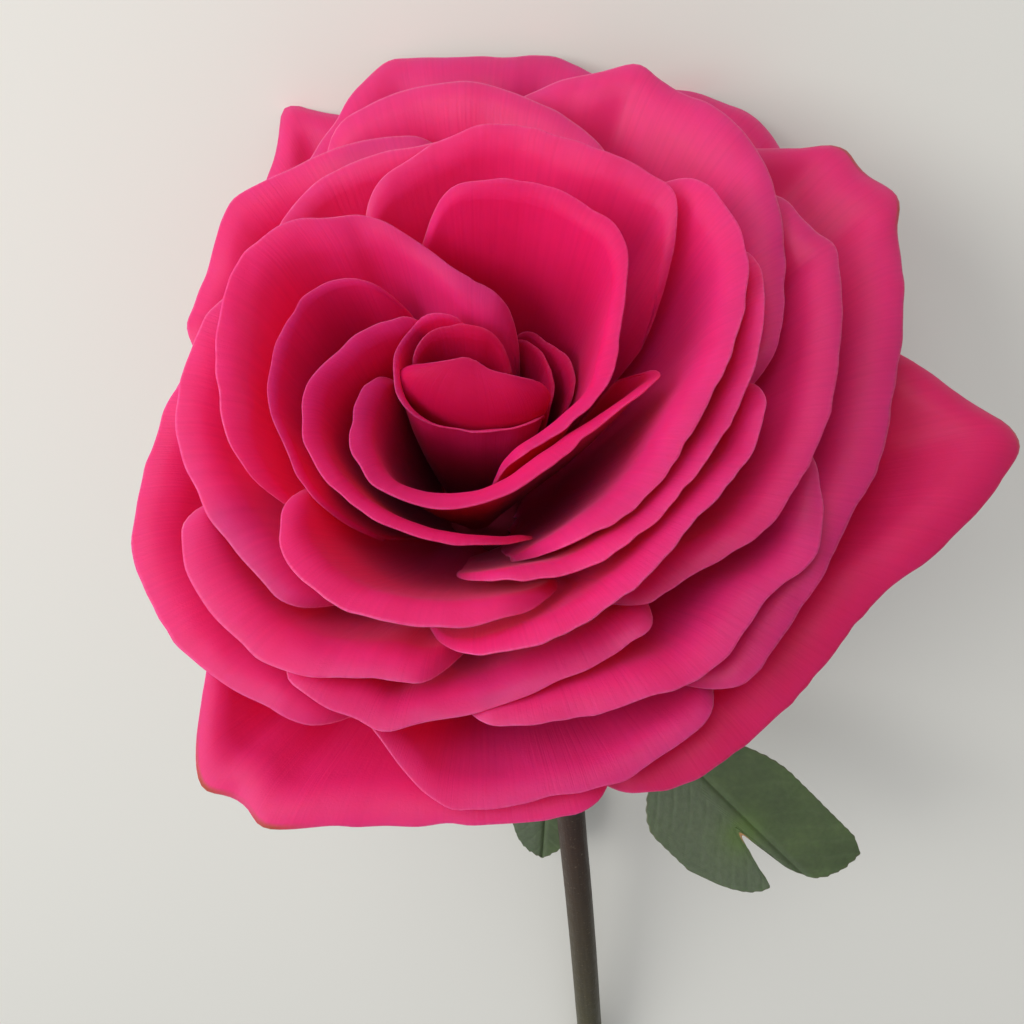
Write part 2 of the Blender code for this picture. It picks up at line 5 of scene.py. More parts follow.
import bpy
import numpy as np
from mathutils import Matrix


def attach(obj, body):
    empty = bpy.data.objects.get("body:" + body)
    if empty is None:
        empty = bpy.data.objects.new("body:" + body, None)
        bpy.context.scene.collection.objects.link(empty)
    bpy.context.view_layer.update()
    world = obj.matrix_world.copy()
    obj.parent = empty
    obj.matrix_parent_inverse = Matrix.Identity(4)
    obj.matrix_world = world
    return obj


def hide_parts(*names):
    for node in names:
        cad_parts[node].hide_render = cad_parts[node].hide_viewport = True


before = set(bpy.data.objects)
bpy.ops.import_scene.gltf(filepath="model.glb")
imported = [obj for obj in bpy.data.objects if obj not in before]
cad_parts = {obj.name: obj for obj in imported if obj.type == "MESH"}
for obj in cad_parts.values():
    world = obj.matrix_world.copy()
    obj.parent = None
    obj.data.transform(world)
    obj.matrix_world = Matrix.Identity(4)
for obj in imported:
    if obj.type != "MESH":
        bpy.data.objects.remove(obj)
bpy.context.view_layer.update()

# ---- Where the flower lies ----
# A cut rose laid down rests on the tips of two outer petals and on the cut end of its stem,
# so the bloom's axis looks up and away from the stem. Shapes are worked out upright, in millimetres.
BLOOM_FOOT = (-16.26, 83.52, 39.19)
BLOOM_TURN = (-54.55, -2.60, 0.01)


def turn_matrix(degrees):
    """Turn about X, then Y, then Z."""
    x, y, z = (math.radians(angle) for angle in degrees)
    about_x = np.array([[1, 0, 0], [0, math.cos(x), -math.sin(x)], [0, math.sin(x), math.cos(x)]])
    about_y = np.array([[math.cos(y), 0, math.sin(y)], [0, 1, 0], [-math.sin(y), 0, math.cos(y)]])
    about_z = np.array([[math.cos(z), -math.sin(z), 0], [math.sin(z), math.cos(z), 0], [0, 0, 1]])
    return about_z @ about_y @ about_x


def laid_down(points):
    """Points of the upright flower, in millimetres, as they lie, in metres."""
    return (np.asarray(points, float) @ turn_matrix(BLOOM_TURN).T + np.array(BLOOM_FOOT)) * 0.001


# ---- Receptacle ----
# The swollen top of the stem that carries every petal: a cone above, crimson where the petals'
# claws grow out of it, and under their ring a smooth green hip, a little ribbed and waxy.
# Its outline as (radius, height), from the cone's tip down to the stem.
HIP_PROFILE = (
    (1.0, 8.5), (7.6, 2.6), (13.2, -2.6), (14.0, -3.8), (13.6, -4.9), (12.2, -6.4), (9.8, -8.6),
    (8.4, -11.0), (7.4, -14.0), (5.6, -17.4), (3.7, -19.4), (1.6, -19.9))
HIP_ROWS = 70
HIP_SIDES = 72
RIB_COUNT = 5.0
RIB_DEPTH = 0.012


def smooth_step(value):
    value = np.clip(value, 0.0, 1.0)
    return value * value * (3.0 - 2.0 * value)


def curve_through(places, values, wanted):
    """Smooth curve through stations, with no overshoot between them."""
    places, values = np.asarray(places, float), np.asarray(values, float)
    steps = np.diff(places)
    rises = np.diff(values) / steps
    slopes = np.zeros(len(places))
    slopes[0], slopes[-1] = rises[0], rises[-1]
    for i in range(1, len(places) - 1):
        if rises[i - 1] * rises[i] > 0:
            slopes[i] = 2.0 * rises[i - 1] * rises[i] / (rises[i - 1] + rises[i])
    i = np.clip(np.searchsorted(places, wanted) - 1, 0, len(steps) - 1)
    share, span = np.clip((wanted - places[i]) / steps[i], 0.0, 1.0), steps[i]
    left = 1.0 - share
    first = (1 + 2 * share) * left ** 2 * values[i] + share * left ** 2 * span * slopes[i]
    last = share ** 2 * (3 - 2 * share) * values[i + 1] - share ** 2 * left * span * slopes[i + 1]
    return first + last


def smooth_path(stations, count):
    """Points at even steps along a smooth curve through stations, and how far along it each is."""
    stations = np.array(stations, float)
    lengths = np.concatenate([[0.0], np.cumsum(np.linalg.norm(np.diff(stations, axis=0), axis=1))])
    wanted = np.linspace(0.0, lengths[-1], count)
    return np.stack([curve_through(lengths, stations[:, k], wanted) for k in range(3)], axis=1), wanted


def add_fact(mesh, fact, values):
    """One named value for each point."""
    attribute = mesh.attributes.new(fact, "FLOAT", "POINT")
    attribute.data.foreach_set("value", np.ascontiguousarray(values, np.float32).reshape(-1))


def put_in_scene(name, content):
    """New object in the scene for a mesh, a lamp or a camera."""
    thing = bpy.data.objects.new(name, content)
    bpy.context.scene.collection.objects.link(thing)
    return thing


def closed_rings(name, rings, facts):
    """Closed smooth body from rings of points, with a point in the middle of its first and last ring."""
    count, sides = rings.shape[:2]
    points = np.concatenate([[rings[0].mean(axis=0)], rings.reshape(-1, 3), [rings[-1].mean(axis=0)]])
    last = count * sides + 1
    faces = []
    for i in range(sides):
        j = (i + 1) % sides
        faces.append((0, 1 + i, 1 + j))
        faces.append((last, last - sides + j, last - sides + i))
        for start in range(1, last - sides, sides):
            faces.append((start + i, start + sides + i, start + sides + j, start + j))
    mesh = bpy.data.meshes.new(name)
    mesh.from_pydata([tuple(point) for point in laid_down(points)], [], faces)
    for fact, values in facts.items():
        values = np.broadcast_to(values, (count, sides))
        values = np.concatenate([[values[0].mean()], values.reshape(-1), [values[-1].mean()]])
        add_fact(mesh, fact, values)
    mesh.polygons.foreach_set("use_smooth", [True] * len(mesh.polygons))
    return put_in_scene(name, mesh)


def feed(tree, socket, value):
    """Put another node's output, a number, a name, a direction or a colour into a socket."""
    if isinstance(value, bpy.types.NodeSocket):
        tree.links.new(value, socket)
    elif isinstance(value, tuple):
        socket.default_value = (*value, 1.0)[:len(socket.default_value)]
    else:
        socket.default_value = value


def add_node(tree, kind, inputs=None, **settings):
    """New node with its settings, and its inputs fed by name or by place."""
    node = tree.nodes.new(kind)
    for key, value in settings.items():
        setattr(node, key, value)
    for key, value in (inputs or {}).items():
        feed(tree, node.inputs[key], value)
    return node


def fact_node(tree, name):
    return add_node(tree, "ShaderNodeAttribute", attribute_name=name).outputs["Fac"]


def ramp_node(tree, source, stops):
    """Colours over 0 to 1; a stop that is one number is that much grey."""
    ramp = add_node(tree, "ShaderNodeValToRGB", {"Fac": source})
    elements = ramp.color_ramp.elements
    while len(elements) < len(stops):
        elements.new(0.5)
    for element, (place, colour) in zip(elements, stops):
        element.position = place
        element.color = (*colour, 1.0) if isinstance(colour, tuple) else (colour, colour, colour, 1.0)
    return ramp.outputs["Color"]


def math_node(tree, operation, first, second=0.0):
    return add_node(tree, "ShaderNodeMath", {0: first, 1: second}, operation=operation).outputs[0]


def times(tree, first, second):
    return math_node(tree, "MULTIPLY", first, second)


def weighed(tree, *terms, plus):
    """Sum of values, each times its weight, and a constant."""
    total, *others = [times(tree, value, weight) for value, weight in terms]
    for other in (*others, plus):
        total = math_node(tree, "ADD", total, other)
    return total


def scaled(tree, source, low, high):
    """A value taken from low..high to 0..1 and kept inside it."""
    reach = {"Value": source, "From Min": low, "From Max": high}
    return add_node(tree, "ShaderNodeMapRange", reach).outputs["Result"]


def noise_node(tree, vector, scale, detail):
    cloud = {"Vector": vector, "Scale": scale, "Detail": detail}
    return add_node(tree, "ShaderNodeTexNoise", cloud).outputs["Fac"]


def joined_vector(tree, x, y, z=0.0):
    return add_node(tree, "ShaderNodeCombineXYZ", {0: x, 1: y, 2: z}).outputs[0]


def mix_colours(tree, blend, share, first, second):
    feeds = {0: share, 6: first, 7: second}
    return add_node(tree, "ShaderNodeMix", feeds, data_type="RGBA", blend_type=blend).outputs[2]


def painted(tree, colour, share, paint):
    """A colour with a share of another laid over it."""
    return mix_colours(tree, "MIX", share, colour, paint)


def shaded_by(tree, colour, value):
    """A colour darkened or lightened by a value near 1."""
    grey = add_node(tree, "ShaderNodeCombineColor", {0: value, 1: value, 2: value})
    return mix_colours(tree, "MULTIPLY", 1.0, colour, grey.outputs[0])


def new_material(name):
    """New material, its tree and the place on the object that its patterns follow."""
    material = bpy.data.materials.new(name)
    material.use_nodes = True
    tree = material.node_tree
    return material, tree, tree.nodes.new("ShaderNodeTexCoord").outputs["Object"]


def finish_material(tree, colour, roughness, relief, strength, distance, more=None):
    """Colour, roughness and relief of a material's one shader, and any more of its settings."""
    bump = add_node(tree, "ShaderNodeBump", {"Strength": strength, "Distance": distance, "Height": relief})
    shader = tree.nodes["Principled BSDF"]
    looks = {"Base Color": colour, "Roughness": roughness, "Normal": bump.outputs["Normal"]}
    for key, value in {**looks, **(more or {})}.items():
        feed(tree, shader.inputs[key], value)


def hip_material():
    material, tree, place = new_material("hip_skin")
    colour = ramp_node(tree, scaled(tree, fact_node(tree, "hip_height"), -20.0, 9.0), [
        (0.0, (0.10, 0.12, 0.035)), (0.35, (0.12, 0.19, 0.05)), (0.52, (0.22, 0.24, 0.09)),
        (0.58, (0.30, 0.05, 0.06)), (1.0, (0.32, 0.004, 0.05))])
    mottle = noise_node(tree, place, 260.0, 4.0)
    specks = noise_node(tree, place, 1400.0, 2.0)
    colour = shaded_by(tree, colour, weighed(tree, (mottle, 0.5), (specks, 0.25), plus=0.62))
    rough = weighed(tree, (mottle, 0.25), plus=0.3)
    finish_material(tree, colour, rough, specks, 0.3, 0.0002, {
        "Subsurface Weight": 0.2, "Subsurface Radius": (0.6, 1.0, 0.3), "Subsurface Scale": 0.001})
    return material


hip_line, _ = smooth_path([(radius, 0.0, height) for radius, height in HIP_PROFILE], HIP_ROWS)
hip_heights = hip_line[:, 2:3]
hip_angles = np.linspace(0.0, 2.0 * math.pi, HIP_SIDES, endpoint=False)
hip_ribs = RIB_DEPTH * (1.0 - np.cos(RIB_COUNT * hip_angles)) * smooth_step((-hip_heights - 3.0) / 6.0)
hip_radii = hip_line[:, 0:1] * (1.0 - hip_ribs)
hip_rings = np.stack([hip_radii * np.cos(hip_angles), hip_radii * np.sin(hip_angles),
                      np.broadcast_to(hip_heights, hip_radii.shape)], axis=2)
hip = closed_rings("bloom_receptacle", hip_rings, {"hip_height": hip_rings[:, :, 2]})
hip.data.materials.append(hip_material())
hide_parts("receptacle")
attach(hip, "root")

# ---- Stamens ----
# A small tuft of yellow threads with pollen bags on top of the receptacle, hidden under the
# innermost petals. One thread is repeated round the tuft, each turned and leaning its own way.
TUFT_PLACE = (0.0, 0.0, 8.95)
THREAD_COUNT = 16


def stamen_material():
    material, tree, place = new_material("pollen")
    grains = noise_node(tree, place, 3000.0, 3.0)
    colour = ramp_node(tree, grains, [(0.3, (0.42, 0.20, 0.03)), (0.7, (0.78, 0.52, 0.12))])
    finish_material(tree, colour, scaled(tree, grains, -1.0, 1.2), grains, 0.4, 0.0001)
    return material


def open_tree(name, sockets):
    """New geometry tree and its inputs by name, each of its kind."""
    tree = bpy.data.node_groups.new(name, "GeometryNodeTree")
    for label, kind in sockets.items():
        tree.interface.new_socket(label, in_out="INPUT", socket_type="NodeSocket" + kind)
    tree.interface.new_socket("Made", in_out="OUTPUT", socket_type="NodeSocketGeometry")
    return tree, tree.nodes.new("NodeGroupInput").outputs


def joined_shapes(tree, *shapes):
    joint = tree.nodes.new("GeometryNodeJoinGeometry")
    for shape in shapes:
        tree.links.new(shape, joint.inputs[0])
    return joint.outputs[0]


def close_tree(tree, shape, skin):
    """End of a geometry tree: its shape as one real mesh with its material."""
    real = add_node(tree, "GeometryNodeRealizeInstances", {"Geometry": shape})
    dressed = add_node(tree, "GeometryNodeSetMaterial", {"Geometry": real.outputs[0], "Material": skin})
    add_node(tree, "NodeGroupOutput", {"Made": dressed.outputs[0]})
    return tree


def random_node(tree, low, high, seed):
    reach = {"Min": low, "Max": high, "Seed": seed}
    return add_node(tree, "FunctionNodeRandomValue", reach, data_type="FLOAT_VECTOR").outputs["Value"]


def stretched(tree, vector, size):
    scaling = add_node(tree, "ShaderNodeVectorMath", {0: vector}, operation="SCALE")
    feed(tree, scaling.inputs["Scale"], size)
    return scaling.outputs[0]


def tuft_tree():
    """Tree that stands threads with a bag on each in a small round field, each leaning its own way."""
    tree, given = open_tree("stamen_tuft", {
        "Place": "Geometry", "Threads": "Int", "Tuft Radius": "Float", "Thread Length": "Float",
        "Thread Radius": "Float", "Bag Radius": "Float", "Skin": "Material"})
    thread = add_node(tree, "GeometryNodeMeshCylinder", {
        "Vertices": 6, "Radius": given["Thread Radius"], "Depth": given["Thread Length"]},
        fill_type="TRIANGLE_FAN")
    bag = add_node(tree, "GeometryNodeMeshUVSphere", {
        "Segments": 8, "Rings": 5, "Radius": given["Bag Radius"]})
    half_up = joined_vector(tree, 0.0, 0.0, times(tree, given["Thread Length"], 0.5))
    topping = add_node(tree, "GeometryNodeTransform", {
        "Geometry": bag.outputs["Mesh"], "Translation": half_up})
    both = joined_shapes(tree, thread.outputs["Mesh"], topping.outputs[0])
    stamen = add_node(tree, "GeometryNodeTransform", {"Geometry": both, "Translation": half_up})
    spread = random_node(tree, (-1.0, -1.0, 0.0), (1.0, 1.0, 0.0), 4)
    places = stretched(tree, spread, given["Tuft Radius"])
    points = add_node(tree, "GeometryNodePoints", {"Count": given["Threads"], "Position": places})
    placed = add_node(tree, "GeometryNodeInstanceOnPoints", {
        "Points": points.outputs[0], "Instance": stamen.outputs[0],
        "Rotation": random_node(tree, (-0.03, -0.03, -3.1), (0.03, 0.03, 3.1), 9)})
    return close_tree(tree, placed.outputs[0], given["Skin"])


def finished(name, mesh, tree, settings):
    """A plain object from a mesh and a tree with its settings."""
    raw = put_in_scene(name + "_raw", mesh)
    modifier = raw.modifiers.new("finish", "NODES")
    modifier.node_group = tree
    sockets = {item.name: item.identifier for item in tree.interface.items_tree}
    for label, value in settings.items():
        modifier[sockets[label]] = value
    made = raw.evaluated_get(bpy.context.evaluated_depsgraph_get())
    plain = bpy.data.meshes.new_from_object(made)
    plain.name = name
    bpy.data.objects.remove(raw)
    return put_in_scene(name, plain)


tuft = finished("bloom_stamens", bpy.data.meshes.new("tuft_place"), tuft_tree(), {
    "Threads": THREAD_COUNT, "Tuft Radius": 0.00036, "Thread Length": 0.0056, "Thread Radius": 0.00006,
    "Bag Radius": 0.00013, "Skin": stamen_material()})
tuft_points = np.empty(len(tuft.data.vertices) * 3)
tuft.data.vertices.foreach_get("co", tuft_points)
tuft_points = laid_down(tuft_points.reshape(-1, 3) * 1000.0 + np.array(TUFT_PLACE))
tuft.data.vertices.foreach_set("co", tuft_points.reshape(-1))
tuft.data.update()
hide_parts("stamens")
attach(tuft, "root")

# ---- Stem and leaf stalks ----
# One woody shoot that bends just under the bloom, dark red-brown there, with painted shade from
# the bloom darkening it more, and greener lower down, cut square at its end. Each leaf's stalk grows
# out of it at a swollen joint.
STEM_PATH = (
    (0.0, 0.0, -20.3), (0.2, -0.6, -29.0), (8.0, -12.0, -46.0), (16.0, -27.0, -68.0),
    (19.8, -46.0, -98.0), (23.5, -66.0, -134.0), (27.0, -86.0, -172.0), (30.5, -104.0, -210.0))
STEM_ROWS = 170
STEM_SIDES = 40
STEM_GROOVE = 0.05
STEM_TWIST = 0.02
STEM_TOP_RADIUS = 3.1
STEM_END_RADIUS = 3.6
JOINT_HEIGHTS = (-60.0, -80.0)
JOINT_SWELL = 0.35
JOINT_REACH = 3.2
STALK_RADIUS = 0.9
STALK_FOOT_SWELL = 0.6
STALK_ROWS = 40
STALK_SIDES = 18
STALK_PATHS = {
    "right": ((17.9, -21.9, -58.9), (24.0, -22.8, -58.4), (31.0, -25.0, -60.0), (37.6, -26.8, -61.8)),
    "left": ((17.6, -29.7, -79.1), (17.3, -28.0, -81.0), (16.0, -26.6, -89.0), (14.2, -26.0, -99.3)),
}
# Rings of a rod's cut end, from its middle out: share of the radius, distance from the cut, and
# the value that tells wood from bark.
ROD_END = ((0.35, 0.0, 0.35), (0.8, 0.0, 0.8), (0.94, 0.02, 0.94), (0.99, 0.12, 1.0))


def unit(vectors):
    return vectors / np.linalg.norm(vectors, axis=-1, keepdims=True)


def rod_rings(path, radii, sides):
    """Rings of points round a path, square to it, and the angle of each point."""
    along = unit(np.gradient(path, axis=0))
    first = unit(np.cross(along, (1.0, 0.0, 0.0)))[:, None]
    second = np.cross(along, first[:, 0])[:, None]
    angles = np.linspace(0.0, 2.0 * math.pi, sides, endpoint=False)
    around = np.cos(angles)[:, None] * first - np.sin(angles)[:, None] * second
    return path[:, None] + around * radii, angles


def rod_piece(name, node, path, radii, sides, material):
    """A rod with a chamfered, flat-cut end at each side of its path."""
    centres, along = path
    rings, angles = rod_rings(centres, radii, sides)
    ends = []
    for index, inward in ((0, 1), (-1, -2)):
        centre, step = centres[index], unit(centres[inward] - centres[index])
        ends.append([centre + (rings[index] - centre) * share + step * depth for share, depth, _ in ROD_END])
    rings = np.concatenate([ends[0], rings[1:-1], ends[1][::-1]])
    woody = [mark for _, _, mark in ROD_END]
    end_rows = len(ROD_END)
    steps = np.concatenate([np.full(end_rows, along[0]), along[1:-1], np.full(end_rows, along[-1])])
    cut = np.concatenate([woody, np.ones(len(along) - 2), woody[::-1]])
    piece = closed_rings(name, rings, {
        "rod_along": steps[:, None], "rod_around": np.cos(angles), "rod_turn": np.sin(angles),
        "rod_cut": cut[:, None]})
    piece.data.materials.append(material)
    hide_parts(node)
    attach(piece, "root")


def stem_material():
    material, tree, place = new_material("stem_bark")
    along, around, turn, cut = (fact_node(tree, "rod_" + fact) for fact in ("along", "around", "turn", "cut"))
    # Darkest just under the bloom: partly the bark's own red-brown, partly painted shade from the bloom
    # above.
    skin = ramp_node(tree, scaled(tree, along, 0.0, 240.0), [
        (0.0, (0.055, 0.065, 0.024)), (0.10, (0.045, 0.026, 0.014)), (0.35, (0.040, 0.020, 0.012)),
        (0.65, (0.052, 0.042, 0.018)), (1.0, (0.065, 0.075, 0.026))])
    lengthwise = [times(tree, *stretch) for stretch in ((around, 6.0), (turn, 6.0), (along, 0.12))]
    lines = noise_node(tree, joined_vector(tree, *lengthwise), 1.0, 4.0)
    mottle = noise_node(tree, place, 420.0, 4.0)
    specks = noise_node(tree, place, 1500.0, 1.0)
    skin = shaded_by(tree, skin, weighed(tree, (lines, 0.7), (mottle, 0.5), plus=0.4))
    pores = ramp_node(tree, specks, [(0.68, 0.0), (0.76, 0.6)])
    skin = painted(tree, skin, pores, (0.17, 0.13, 0.08))
    wood = ramp_node(tree, cut, [
        (0.35, (0.46, 0.50, 0.30)), (0.60, (0.55, 0.55, 0.34)), (0.82, (0.24, 0.32, 0.11)),
        (0.93, (0.08, 0.11, 0.035))])
    colour = painted(tree, skin, ramp_node(tree, cut, [(0.94, 1.0), (0.985, 0.0)]), wood)
    relief = math_node(tree, "ADD", lines, times(tree, specks, 0.4))
    rough = weighed(tree, (mottle, 0.3), plus=0.33)
    finish_material(tree, colour, rough, relief, 0.4, 0.0003, {"Specular IOR Level": 0.25})
    return material


bark = stem_material()
stem_path = smooth_path(STEM_PATH, STEM_ROWS)
stem_radii = np.linspace(STEM_TOP_RADIUS, STEM_END_RADIUS, STEM_ROWS)[:, None, None]
stem_turns = np.linspace(0.0, 2.0 * math.pi, STEM_SIDES, endpoint=False)[None, :, None]
stem_twist = stem_path[1][:, None, None] * STEM_TWIST
stem_radii = stem_radii - STEM_GROOVE * (1.0 - np.cos(5.0 * stem_turns + stem_twist))
for joint in JOINT_HEIGHTS:
    near_joint = np.exp(-((stem_path[0][:, 2] - joint) / JOINT_REACH) ** 2)
    stem_radii = stem_radii + JOINT_SWELL * near_joint[:, None, None]
rod_piece("stem_shoot", "stem", stem_path, stem_radii, STEM_SIDES, bark)
for side, stations in STALK_PATHS.items():
    stalk_path = smooth_path(stations, STALK_ROWS)
    stalk_radii = STALK_RADIUS + STALK_FOOT_SWELL * np.exp(-stalk_path[1] / 2.0)
    stalk_radii = stalk_radii[:, None, None]
    rod_piece("stalk_" + side, "leaf_stalk_" + side, stalk_path, stalk_radii, STALK_SIDES, bark)

# ---- Leaves ----
# Two toothed blades, leathery, folded a little along the midrib, with side veins that run out to
# the teeth. The right one is torn in at its end, and its tear has healed brown.
LEAF_ROWS, LEAF_COLUMNS = 64, 96
TOOTH_STEP = 2.3
TOOTH_HEIGHT = 0.42
TOOTH_FADE = 0.9
VEIN_STEP = 4.6
LEAF_FOLD = 0.16
LEAF_DROOP = 5.0
LEAVES = {
    "right": dict(
        foot=(38.0, -27.0, -62.0), along=(0.71, -0.65, -0.26), across=(0.71, 0.65, 0.26),
        outline=((-16.0, 22.0), (-13.0, 31.0), (-10.0, 36.0), (-7.0, 38.0), (-5.0, 31.0), (-3.0, 25.0),
                 (-1.5, 38.0), (1.0, 44.0), (4.0, 46.0), (8.0, 47.0), (11.5, 47.0), (13.5, 43.0)),
        torn=(-3.0, 25.0)),
    "left": dict(
        foot=(14.0, -26.0, -100.0), along=(-0.05, -0.85, -0.52), across=(1.0, 0.0, 0.0),
        outline=((-8.5, 13.0), (-6.5, 18.5), (-4.0, 22.0), (-1.5, 24.0), (0.0, 25.0), (1.5, 24.0),
                 (4.0, 22.0), (6.5, 18.5), (8.5, 13.0)),
        torn=None),
}


def grid_mesh(name, grid, facts):
    """Mesh of a grid of points, with one named value per point for each fact."""
    rows, columns = grid.shape[:2]
    mesh = bpy.data.meshes.new(name)
    corners = [(r * columns + c, r * columns + c + 1, (r + 1) * columns + c + 1, (r + 1) * columns + c)
               for r in range(rows - 1) for c in range(columns - 1)]
    mesh.from_pydata([tuple(point) for point in laid_down(grid.reshape(-1, 3))], [], corners)
    for fact, values in facts.items():
        add_fact(mesh, fact, np.broadcast_to(values, (rows, columns)))
    return mesh


def run_along(grid, axis):
    """How far each point is along its row or column."""
    steps = np.linalg.norm(np.diff(grid, axis=axis), axis=2)
    start = np.zeros_like(np.take(steps, [0], axis=axis))
    return np.concatenate([start, np.cumsum(steps, axis=axis)], axis=axis)


def teeth(run):
    """Saw teeth that lean towards the tip."""
    share = (run / TOOTH_STEP) % 1.0
    return TOOTH_HEIGHT * np.minimum(share / 0.75, (1.0 - share) / 0.25)


def leaf_blade(foot, along, across, outline, torn):
    """Blade from its stalk to its toothed edge, with veins pressed in, and each point's place on it."""
    foot, along, across = np.array(foot), unit(np.array(along)), unit(np.array(across))
    up = np.cross(along, across)
    xs = np.linspace(outline[0][0], outline[-1][0], LEAF_COLUMNS)
    lengths = curve_through([x for x, _ in outline], [length for _, length in outline], xs)
    shares = 1.0 - (1.0 - np.linspace(0.0, 1.0, LEAF_ROWS)) ** 1.25
    spread = (0.12 + 0.88 * np.sin(np.minimum(1.0, shares / 0.55) * math.pi / 2.0) ** 0.8)[:, None]
    sideways, onward = xs[None, :] * spread, shares[:, None] * lengths[None, :]
    wander = 0.35 * np.sin(0.37 * np.abs(sideways) + 0.9 * np.floor(onward / VEIN_STEP))
    phase = (onward - 0.85 * np.abs(sideways) + wander) / VEIN_STEP + 0.5 * (sideways < 0.0)
    from_vein = np.abs((phase % 1.0) - 0.5)
    side_vein = np.exp(-((0.5 - from_vein) * VEIN_STEP / 0.42) ** 2) * smooth_step(np.abs(sideways) / 1.5)
    midrib = np.exp(-(sideways / 0.55) ** 2)
    lift = LEAF_FOLD * np.abs(sideways) - LEAF_DROOP * (onward / 40.0) ** 2
    lift = lift + 0.035 * np.sin(2.0 * math.pi * from_vein) * np.clip(np.abs(sideways) / 5.0, 0.0, 1.0)
    lift = lift - 0.4 * midrib - 0.04 * side_vein
    grid = foot + along * onward[:, :, None] + across * sideways[:, :, None] + up * lift[:, :, None]
    from_top = run_along(grid, 0)[-1] - run_along(grid, 0)
    from_left = run_along(grid, 1)
    from_right = from_left[:, -1:] - from_left
    edge = np.minimum(from_top, np.minimum(from_left, from_right))
    end_run, side_run = run_along(grid, 1)[-1], run_along(grid, 0)
    onward_step, side_step = unit(np.gradient(grid, axis=0)), unit(np.gradient(grid, axis=1))
    grid = grid + onward_step * (teeth(end_run)[None, :] * np.exp(-from_top / TOOTH_FADE))[:, :, None]
    grid = grid - side_step * (teeth(side_run[:, :1]) * np.exp(-from_left / TOOTH_FADE))[:, :, None]
    grid = grid + side_step * (teeth(side_run[:, -1:]) * np.exp(-from_right / TOOTH_FADE))[:, :, None]
    tear = 0.0 if torn is None else np.exp(-np.hypot(sideways - torn[0], onward - torn[1]) / 3.0)
    return grid, {"sheet_rim": edge, "leaf_vein": np.maximum(midrib, 0.7 * side_vein),
                  "leaf_side": sideways, "leaf_tear": tear}


def leaf_material():
    material, tree, place = new_material("leaf_skin")
    vein, side, tear = (fact_node(tree, fact) for fact in ("leaf_vein", "leaf_side", "leaf_tear"))
    rim, upper = fact_node(tree, "sheet_rim"), fact_node(tree, "sheet_far")
    patches = noise_node(tree, place, 70.0, 3.0)
    grain = noise_node(tree, place, 900.0, 4.0)
    top = ramp_node(tree, patches, [
        (0.3, (0.048, 0.070, 0.026)), (0.55, (0.066, 0.098, 0.034)), (0.75, (0.088, 0.130, 0.042))])
    # Painted light: the half of each blade on the negative side of the midrib is painted paler, as if it
    # faced the light more.
    painted_lit_half = scaled(tree, side, 1.5, -3.0)
    top = painted(tree, top, times(tree, painted_lit_half, 0.75), (0.130, 0.165, 0.100))
    top = painted(tree, top, times(tree, vein, 0.16), (0.12, 0.17, 0.075))
    below = ramp_node(tree, patches, [(0.3, (0.13, 0.18, 0.095)), (0.7, (0.18, 0.23, 0.12))])
    below = painted(tree, below, times(tree, vein, 0.5), (0.24, 0.29, 0.15))
    colour = painted(tree, below, upper, top)
    colour = shaded_by(tree, colour, weighed(tree, (grain, 0.5), plus=0.75))
    lime = times(tree, ramp_node(tree, tear, [(0.05, 0.0), (0.45, 0.8)]), 0.7)
    colour = painted(tree, colour, lime, (0.11, 0.19, 0.03))
    healed = ramp_node(tree, tear, [(0.45, 0.0), (0.8, 1.0)])
    scar = times(tree, healed, ramp_node(tree, rim, [(0.6, 1.0), (1.6, 0.0)]))
    colour = painted(tree, colour, scar, (0.52, 0.27, 0.12))
    edge = ramp_node(tree, rim, [(0.0, 0.55), (0.35, 0.0)])
    colour = painted(tree, colour, edge, (0.115, 0.095, 0.050))
    relief = math_node(tree, "SUBTRACT", grain, times(tree, vein, 0.3))
    rough = weighed(tree, (patches, 0.25), plus=0.33)
    finish_material(tree, colour, rough, relief, 0.35, 0.0003, {
        "Subsurface Weight": 0.15, "Subsurface Radius": (0.5, 1.0, 0.2), "Subsurface Scale": 0.0012})
    return material


